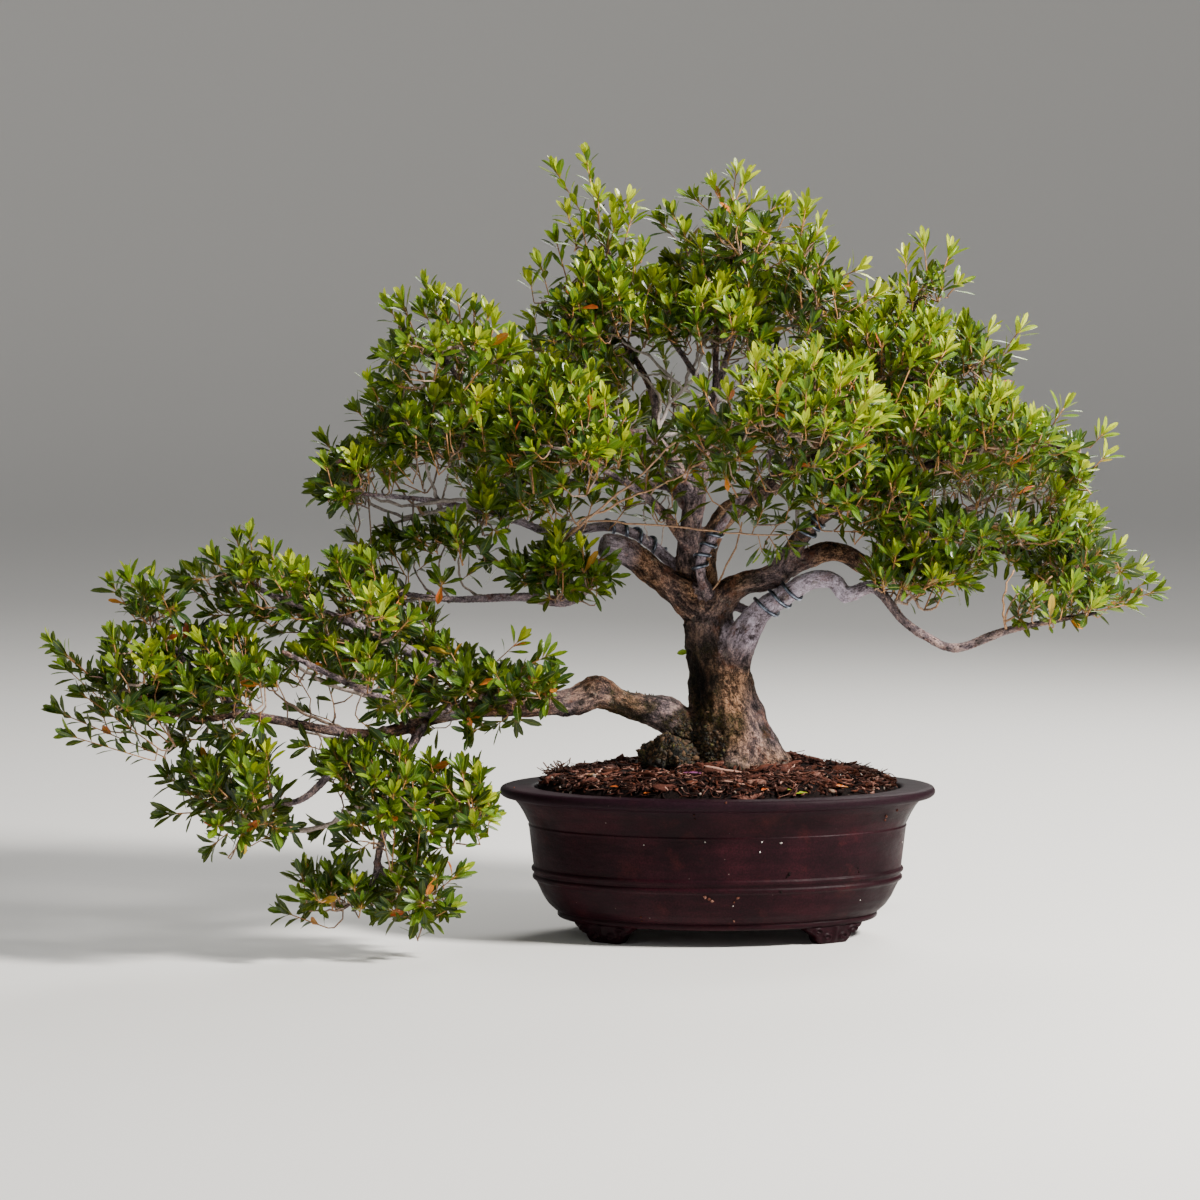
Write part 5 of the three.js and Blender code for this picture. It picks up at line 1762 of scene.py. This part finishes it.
# Bare twigs that are seen inside the crown: pixels in the view, millimetres in front of the pot's
# middle, the radius at the foot and at the end in millimetres, how red and how bleached the twig is.
INNER_TWIGS = [
    ([(708, 402), (685, 389), (672, 380), (659, 367), (650, 356), (629, 346), (618, 338)],
     -8, 2.1, 1.0, 0.0, 0.8),
    ([(673, 381), (660, 374), (645, 376), (632, 370)], -9, 1.4, 0.7, 0.0, 0.9),
    ([(656, 448), (656, 429), (664, 418), (669, 402), (680, 394), (696, 376), (701, 352), (706, 328)],
     3, 2.6, 1.0, 0.0, 0.8),
    ([(669, 403), (670, 386), (672, 372)], 3, 1.3, 0.7, 0.0, 0.9),
    ([(657, 430), (661, 400), (651, 384), (632, 367), (622, 356)], 5, 2.0, 0.9, 0.1, 0.4),
    ([(685, 390), (688, 373), (693, 367), (699, 351), (706, 325), (713, 306)], -9, 1.8, 0.9, 0.0, 0.8),
    ([(699, 352), (696, 340), (697, 328)], -10, 1.0, 0.6, 0.0, 0.9),
    ([(702, 346), (711, 337), (716, 325)], -10, 0.9, 0.6, 0.0, 0.9),
    ([(688, 374), (687, 360), (684, 350)], -9, 1.1, 0.7, 0.0, 0.9),
    ([(716, 392), (720, 402), (728, 400), (733, 388), (742, 372), (752, 360), (756, 346)],
     -12, 2.0, 1.0, 0.0, 0.8),
    ([(724, 404), (730, 405), (741, 394), (748, 380), (752, 368)], -11, 1.6, 0.8, 0.0, 0.8),
    ([(627, 432), (638, 415), (640, 394), (648, 389)], 8, 1.2, 0.7, 0.1, 0.5),
    ([(622, 432), (619, 418), (617, 402), (621, 393)], 12, 1.4, 0.8, 0.0, 0.9),
    ([(617, 402), (624, 401), (629, 403)], 12, 1.1, 0.7, 0.0, 0.9),
    ([(703, 436), (682, 431), (656, 436), (632, 441), (612, 444)], -4, 3.0, 1.6, 0.0, 0.5),
    ([(580, 526), (608, 502), (626, 488), (646, 470), (658, 459), (697, 418)], 80, 1.15, 0.8, 1.0, 0.25),
    ([(574, 522), (606, 510), (630, 497), (660, 486), (688, 472)], 78, 1.1, 0.7, 1.0, 0.2),
    ([(580, 521), (602, 521), (630, 523), (660, 525), (700, 530), (740, 534), (790, 535)],
     44, 1.0, 0.7, 0.9, 0.2),
    ([(717, 586), (726, 565), (737, 546), (742, 522)], 16, 1.0, 0.7, 0.6, 0.0),
    ([(645, 500), (644, 514), (645, 526), (649, 541)], 30, 0.8, 0.5, 0.2, 0.3),
    ([(669, 492), (668, 508), (664, 526), (661, 545)], 32, 0.8, 0.5, 0.2, 0.3),
    ([(720, 448), (725, 466), (730, 486), (738, 498)], 66, 1.0, 0.7, 0.7, 0.0),
    ([(797, 506), (798, 524), (798, 542)], 20, 2.2, 1.9, 0.0, 0.3),
    ([(470, 499), (443, 500), (405, 508), (387, 502), (366, 495), (349, 486)], 66, 2.4, 1.1, 0.0, 0.4),
    ([(477, 505), (452, 508), (427, 513), (402, 517), (384, 510), (367, 502), (358, 488)],
     58, 2.5, 1.0, 0.0, 0.3),
    ([(427, 513), (405, 520), (387, 524), (371, 528)], 58, 1.6, 0.8, 0.1, 0.3),
    ([(441, 510), (434, 488), (427, 470), (429, 452)], 60, 2.2, 1.1, 0.0, 0.4),
    ([(439, 510), (445, 492), (448, 474)], 62, 1.2, 0.7, 0.2, 0.2),
    ([(420, 511), (405, 495), (396, 486), (393, 456)], 64, 1.4, 0.7, 0.5, 0.0),
    ([(388, 706), (372, 697), (350, 691), (325, 683), (302, 669), (278, 655)], 150, 2.3, 1.6, 0.3, 0.45),
    ([(392, 706), (384, 686), (376, 676)], 150, 1.5, 0.9, 0.35, 0.3),
    ([(354, 806), (341, 818), (325, 826), (308, 830), (290, 832)], 158, 3.0, 2.2, 0.35, 0.6),
    ([(360, 738), (330, 724), (300, 712), (276, 694), (266, 680)], 120, 1.8, 0.9, 0.45, 0.1),
    ([(352, 742), (316, 735), (290, 726), (268, 722)], 118, 1.7, 0.9, 0.3, 0.3),
    ([(395, 642), (372, 632), (352, 618), (336, 610)], 112, 2.0, 1.2, 0.1, 0.6),
    ([(400, 648), (380, 643), (362, 632), (340, 622)], 112, 1.7, 1.0, 0.1, 0.6),
    ([(452, 600), (440, 600), (424, 586), (415, 570), (412, 552)], 40, 1.5, 0.8, 0.2, 0.4),
    ([(462, 599), (447, 597), (438, 580), (440, 560), (446, 545)], 36, 1.6, 0.8, 0.2, 0.3),
    ([(496, 598), (482, 597), (462, 586), (457, 568), (460, 550)], 30, 1.6, 0.8, 0.2, 0.4),
    ([(440, 601), (425, 600), (405, 601), (388, 591), (374, 576), (366, 560)], 44, 1.7, 0.8, 0.1, 0.5),
    ([(420, 600), (404, 594), (396, 580), (392, 562)], 46, 1.2, 0.7, 0.3, 0.2),
    ([(1004, 622), (1002, 602), (1006, 584), (1014, 570)], 94, 1.2, 0.7, 0.8, 0.05),
    ([(1010, 621), (1024, 604), (1040, 588), (1052, 576)], 96, 1.2, 0.7, 0.8, 0.05),
    ([(1022, 616), (1044, 602), (1066, 592)], 96, 1.0, 0.6, 0.8, 0.05),
    ([(1004, 620), (1012, 600), (1030, 584)], 92, 1.0, 0.6, 0.7, 0.1),
]

# Whorls between the pads, over the fork of the trunk: the pixel of each tip, its lean to the side
# in pixels and how far in front of the pot's middle it stands, in millimetres.
FORK_WHORLS = [
    (572, 462, -6, 60), (597, 458, 4, 52), (612, 484, -4, 44), (632, 490, 6, 40), (648, 470, 2, 48),
    (668, 458, 6, 56), (690, 466, 4, 62), (708, 446, 8, 66), (724, 436, 0, 80), (742, 450, 10, 76),
    (762, 470, 8, 70), (748, 488, -8, 64), (764, 508, 6, 60), (784, 478, 6, 68), (800, 452, 8, 78),
    (726, 478, -2, 58), (704, 486, -8, 50), (672, 488, 0, 42), (650, 502, -6, 36), (586, 486, -8, 54),
    (560, 492, -8, 60), (604, 440, 2, 70), (632, 446, 4, 64), (656, 438, 2, 58), (684, 434, 8, 66),
    (548, 502, -10, 66), (568, 508, -6, 62), (592, 503, 4, 56), (606, 470, 4, 58), (540, 474, -8, 72),
    (556, 454, -4, 76), (579, 476, 0, 66), (618, 456, 6, 62), (584, 440, -2, 72), (640, 452, -4, 54),
    (560, 556, -8, 62), (588, 568, 14, 58), (606, 560, 18, 52), (574, 590, 6, 60), (548, 578, -12, 66),
    (596, 590, 16, 54), (612, 578, 20, 50), (810, 486, 10, 60), (790, 504, 4, 58), (826, 468, 8, 72),
    (626, 508, 10, 30), (778, 524, 10, 44),
]
LOW_CLUMP = 552  # whorls below this pixel row point outwards instead of up
# Sprigs on bare shoots: tip pixel, foot pixel, millimetres in front of the pot's middle, leaves.
FRONT_SPRIGS = [
    ((757, 520), (752, 534), 44, 9), ((738, 520), (742, 533), 44, 7), ((776, 548), (768, 535), 44, 9),
    ((762, 552), (758, 535), 44, 7), ((790, 546), (786, 535), 44, 8), ((675, 515), (678, 527), 44, 4),
    ((652, 515), (658, 525), 44, 4), ((690, 464), (684, 474), 74, 5),
    ((700, 408), (694, 421), 76, 8), ((642, 464), (648, 470), 76, 5), ((622, 480), (628, 488), 76, 5),
    ((664, 482), (668, 484), 74, 5), ((612, 494), (618, 501), 74, 5), ((800, 528), (790, 535), 44, 8),
    ((411, 544), (412, 553), 40, 8), ((447, 537), (446, 546), 36, 8), ((461, 542), (460, 551), 30, 9),
    ((364, 552), (366, 561), 44, 8), ((391, 554), (392, 563), 46, 8), ((426, 564), (417, 571), 40, 6),
    ((472, 572), (463, 579), 30, 7), ((384, 590), (392, 593), 44, 7), ((344, 618), (352, 622), 112, 7),
    ((262, 676), (267, 681), 120, 7), ((290, 664), (297, 667), 150, 5), ((330, 678), (334, 686), 150, 6),
]
# Coloured leaves: the pixel of the middle, heading in degrees, length in millimetres, and where the
# colour lies from orange through red and yellow to purple.
COLOURED = [
    ((393, 597), 255, 19, 0.10), ((424, 580), 260, 16, 0.30), ((329, 668), 150, 15, 0.22),
    ((265, 680), 170, 17, 0.14), ((243, 828), 280, 17, 0.78), ((230, 823), 160, 13, 0.50),
    ((176, 632), 75, 15, 0.50), ((172, 641), 20, 12, 0.52), ((368, 915), 10, 17, 0.50),
    ((413, 908), 15, 13, 0.48), ((420, 758), 20, 17, 0.34), ((442, 869), 245, 15, 0.14),
    ((201, 752), 100, 14, 0.20), ((713, 483), 285, 12, 0.12), ((591, 400), 95, 13, 0.30),
    ((737, 389), 60, 11, 0.28), ((1085, 628), 320, 15, 0.14), ((488, 742), 100, 14, 0.18),
    ((458, 712), 10, 12, 0.16), ((1000, 470), 40, 13, 0.20), ((640, 330), 80, 12, 0.16),
    ((505, 470), 120, 12, 0.15), ((868, 440), 30, 12, 0.18),
]
BUD_LEAF = (691, 652)  # a single leaf on the trunk, in the view
# Leaves of a whorl, single leaves below it, and how far it leans out and in.
FORK_KIND = (10, 1, (78, 18))
SPRIG_LEAN = (75, 30)
STALK_RADIUS = 0.6 * MM
FORK_REACH = 0.17  # limbs nearer than this to the fork's whorls carry them, in metres


def add_coloured(pile):
    """Leaves that have turned, each on the frontmost shoot near its pixel."""
    tips, axes = (np.concatenate(rows) for rows in zip(*grown))
    where = seen_pixels(tips)
    for spot, heading, length, colour in COLOURED:
        far = np.linalg.norm(where - spot, axis=1)
        found = np.argmin(tips[:, 1] + 0.012 * np.maximum(far - 6, 0))
        turn = math.radians(heading)
        way = (math.cos(turn), -0.45, math.sin(turn))
        base = tips[found] - axes[found] * 5 * MM
        add_leaf(pile, base, way, (0.2, -1.0, 0.3), length * MM * 1.15, 0.36, (0.6, 1.0, colour))


def make_fork_shoots():
    """Whorls and sprigs over the fork and on bare shoots, and the single coloured leaves."""
    sprigs = Pile()
    twig_piles["inner"] = Pile()
    tips, axes = [], []
    for u, v, lean, forward in FORK_WHORLS:
        y = POT_CENTRE[1] - forward * MM
        tips.append(seen_place(u, v, y))
        rise = 14 if v < LOW_CLUMP else -1
        axes.append(seen_place(u, v, y) - seen_place(u - lean, v + rise, y + 6 * MM))
    tips, axes = np.array(tips), unit(np.array(axes))
    stems = rng.uniform(12, 22, len(tips)) * MM
    tones = 0.36 + rng.normal(0, 0.07, len(tips))
    add_shoots(sprigs, tips, axes, stems, tones, *FORK_KIND)
    for tip, foot, forward, count in FRONT_SPRIGS:
        y = POT_CENTRE[1] - forward * MM
        top, bottom = seen_place(*tip, y), seen_place(*foot, y)
        axis, stem = unit(top - bottom)[None], np.array([np.linalg.norm(top - bottom)])
        add_shoots(sprigs, top[None], axis, stem, np.array([0.38]), count, 0, SPRIG_LEAN)
        stalk = np.linspace(bottom, top, 4)[None]
        twig_piles["inner"].add(*tubes(stalk, STALK_RADIUS, 4), (0.7, 0, 0))
    grown.append((tips, axes))
    add_coloured(sprigs)
    bud = seen_place(*BUD_LEAF, POT_CENTRE[1])
    add_leaf(sprigs, bud, (-1, -0.2, 0.06), (0, -1, 0.3), 13.5 * MM, 0.45, (0.62, 0.0, 0.5))
    sprigs.piece("leaves_fork", LEAF, "azalea_leaf")
    near = np.linalg.norm(limb_places - tips.mean(axis=0), axis=1) < FORK_REACH
    add_twigs("inner", tips, axes, stems, limb_places[near])


def make_inner_twigs():
    """Bare twigs through the given pixels, each joined to the limb or twig that is nearest."""
    bare = twig_piles["inner"]
    holds = limb_places
    for spots, forward, first, last, redness, bleach in INNER_TWIGS:
        y = POT_CENTRE[1] - forward * MM
        corners = np.array([seen_place(u, v, y) for u, v in spots])
        hold = holds[np.argmin(np.linalg.norm(holds - corners[0], axis=1))]
        corners = np.vstack([hold, corners])
        away = np.cumsum(np.linalg.norm(np.diff(corners, axis=0, prepend=corners[:1]), axis=1))
        along = np.linspace(0, away[-1], 3 * len(corners))
        path = np.stack([np.interp(along, away, corners[:, axis]) for axis in range(3)], axis=-1)
        path[1:-1] = (path[:-2] + 2 * path[1:-1] + path[2:]) / 4
        path[1:-1] += rng.normal(0, 0.6 * MM, path[1:-1].shape)
        path[:, 1] += 2.5 * MM * np.sin(along / 0.02 + 7 * spots[0][0])
        radii = np.linspace(first, last, len(path)) * rng.uniform(0.82, 1.2, len(path)) * MM
        bare.add(*tubes(path[None], radii[None], 7), (redness, bleach, 0))
        holds = np.vstack([holds, path])


make_fork_shoots()
make_inner_twigs()
make_litter()
for side, pile in twig_piles.items():
    pile.piece(f"twigs_{side}", TWIG, "bark")

# ---------------------------------------------------------------- moss

MOSS_VOXEL = 1.3 * MM
CUSHION_FRONDS, BARK_FRONDS = 1300, 1700
CUSHION_TUFTS, BARK_TUFTS = 420, 900
TUFT_REACH = (31, 26)  # half size, in pixels, of the oval round MOSSY that tufts are strewn over


def make_cushion():
    """A ragged mossy lump: its points, the directions they face and which are on its upper side."""
    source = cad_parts["moss_patch"]
    cushion = bpy.data.objects.new("moss_cushion", source.data.copy())
    bpy.context.scene.collection.objects.link(cushion)
    mesh = applied(cushion, "REMESH", mode="VOXEL", voxel_size=MOSS_VOXEL)
    points = vertices_of(mesh)
    points[:, 2] += 0.35 * np.maximum(points[:, 2] - points[:, 2].mean(), 0)
    ways = normals_of(mesh)
    points += ways * (5.5 * MM * noise(points, 0.011, 37, 3) - 2.2 * MM)[:, None]
    reach = np.linalg.norm((points - seen_place(*MOSS_TOP, POT_CENTRE[1] - 0.030))[:, ::2], axis=1)
    points[:, 2] += 13 * MM * np.exp(-((reach / (19 * MM)) ** 2)) * np.clip(ways[:, 2] + 0.4, 0, 1)
    move_vertices(mesh, points)
    mesh.shade_smooth()
    ridden(cushion, MOSS, "moss", "moss_patch")
    return points, ways, np.flatnonzero(ways[:, 2] > 0.0)


def add_fronds(pile, roots, ways):
    """Short blades that stand on the roots."""
    count = len(roots)
    ways = unit(ways + rng.normal(0, 0.45, (count, 3)) + [0, 0, 0.2])
    length = rng.uniform(0.8, 2.4, count)[:, None, None] * MM
    path = roots[:, None] + length * ways[:, None] * np.array([-0.2, 0.4, 1.0])[:, None]
    radii = rng.uniform(0.35, 0.75, count)[:, None] * np.array([0.8, 1.0, 0.4]) * MM
    points, faces = tubes(path, radii, 3)
    pile.add(points, faces, first_only(rng.random(count) ** 2)[:, None, None])


def add_tufts(pile, places, typical, least, most, tones):
    """Small lumps of moss; sizes in millimetres."""
    sizes = rng.gamma(3, typical, len(places)).clip(least, most) * MM
    add_lumps(pile, places, sizes, grey(tones), 3, 5)


def make_moss():
    """The moss cushion with fronds and tufts on it, and on the bark beside it."""
    cushion, cushion_ways, upper = make_cushion()
    chosen = rng.choice(upper, CUSHION_FRONDS)
    bark = bark_piece.data
    bark_points, bark_ways = vertices_of(bark), normals_of(bark)
    moss_and_shade = read_vectors(bark.attributes["tint"].data, "vector")[:, 2]
    on_bark = rng.choice(np.flatnonzero((moss_and_shade > 0.55) & (bark_ways[:, 2] > -0.25)), BARK_FRONDS)
    roots = np.vstack([cushion[chosen], bark_points[on_bark]])
    fronds = Pile()
    add_fronds(fronds, roots, np.vstack([cushion_ways[chosen], bark_ways[on_bark]]))

    turns, reaches = rng.uniform(0, 2 * np.pi, BARK_TUFTS), np.sqrt(rng.random(BARK_TUFTS))
    spots = MOSSY + np.stack([np.cos(turns), np.sin(turns)], axis=-1) * reaches[:, None] * TUFT_REACH
    tufts = [seen_on(bark_skin, *spot, 0.2 * MM) for spot in spots]
    tufts = np.array([place for place in tufts if place is not None])
    tones = 0.8 * rng.random(len(tufts)) ** 3
    add_tufts(fronds, tufts, 0.42, 0.5, 2.6, tones)
    tones = 0.75 * rng.random(CUSHION_TUFTS) ** 2
    add_tufts(fronds, cushion[rng.choice(upper, CUSHION_TUFTS)], 0.62, 0.8, 3.4, tones)
    fronds.piece("moss_fronds", MOSS, "moss")


make_moss()

# ---------------------------------------------------------------- floor and light

# Half width and height of the rings of the floor, in metres.
FLOOR_PROFILE = [
    (6, 0), (7, 0), (7.8, 0.05), (8.6, 0.25), (9.3, 0.75), (9.8, 1.6), (10, 2.6), (10.1, 4),
]
FLOOR_SIDES = 96
LIT_PLACE = np.array([0.0, 0.0, 0.42])  # the place that the lamps point at


def make_floor():
    """A pale floor that curves up into a low backdrop all round, far from the tree."""
    f = Finish("studio_floor")
    f.set(Base_Color=(0.80, 0.79, 0.77), Roughness=0.8)
    rings = oval_rings(FLOOR_PROFILE, 1, FLOOR_SIDES)
    quads, caps = turned_over(*ring_faces(*rings.shape[:2]))
    mesh = bpy.data.meshes.new("studio_floor")
    mesh.from_pydata(rings.reshape(-1, 3), [], [*quads.tolist(), caps[0].tolist()])
    mesh.shade_smooth()
    mesh.materials.append(f.material)
    floor = bpy.data.objects.new("studio_floor", mesh)
    bpy.context.scene.collection.objects.link(floor)


def make_light(name, place, size, power, colour):
    """A square lamp that points at the middle of the tree."""
    lamp = bpy.data.lights.new(name, "AREA")
    lamp.size = size
    lamp.energy = power
    lamp.color = colour
    holder = bpy.data.objects.new(name, lamp)
    holder.location = place
    aim = LIT_PLACE - place
    holder.rotation_euler = (
        math.atan2(math.hypot(aim[0], aim[1]), -aim[2]), 0, math.atan2(aim[1], aim[0]) - math.pi / 2,
    )
    bpy.context.scene.collection.objects.link(holder)


make_floor()
make_light("key_light", (2.2, -1.15, 2.25), 0.55, 305, (1, 0.965, 0.91))
make_light("fill_light", (-2.2, -2.0, 1.3), 2.2, 12, (0.92, 0.96, 1))
make_light("back_light", (0.9, 1.9, 1.9), 1.2, 55, (1, 0.98, 0.94))
world = bpy.data.worlds.new("studio")
world.use_nodes = True
sky = world.node_tree.nodes["Background"].inputs
sky["Color"].default_value = (0.86, 0.87, 0.88, 1)
sky["Strength"].default_value = 0.24
bpy.context.scene.world = world
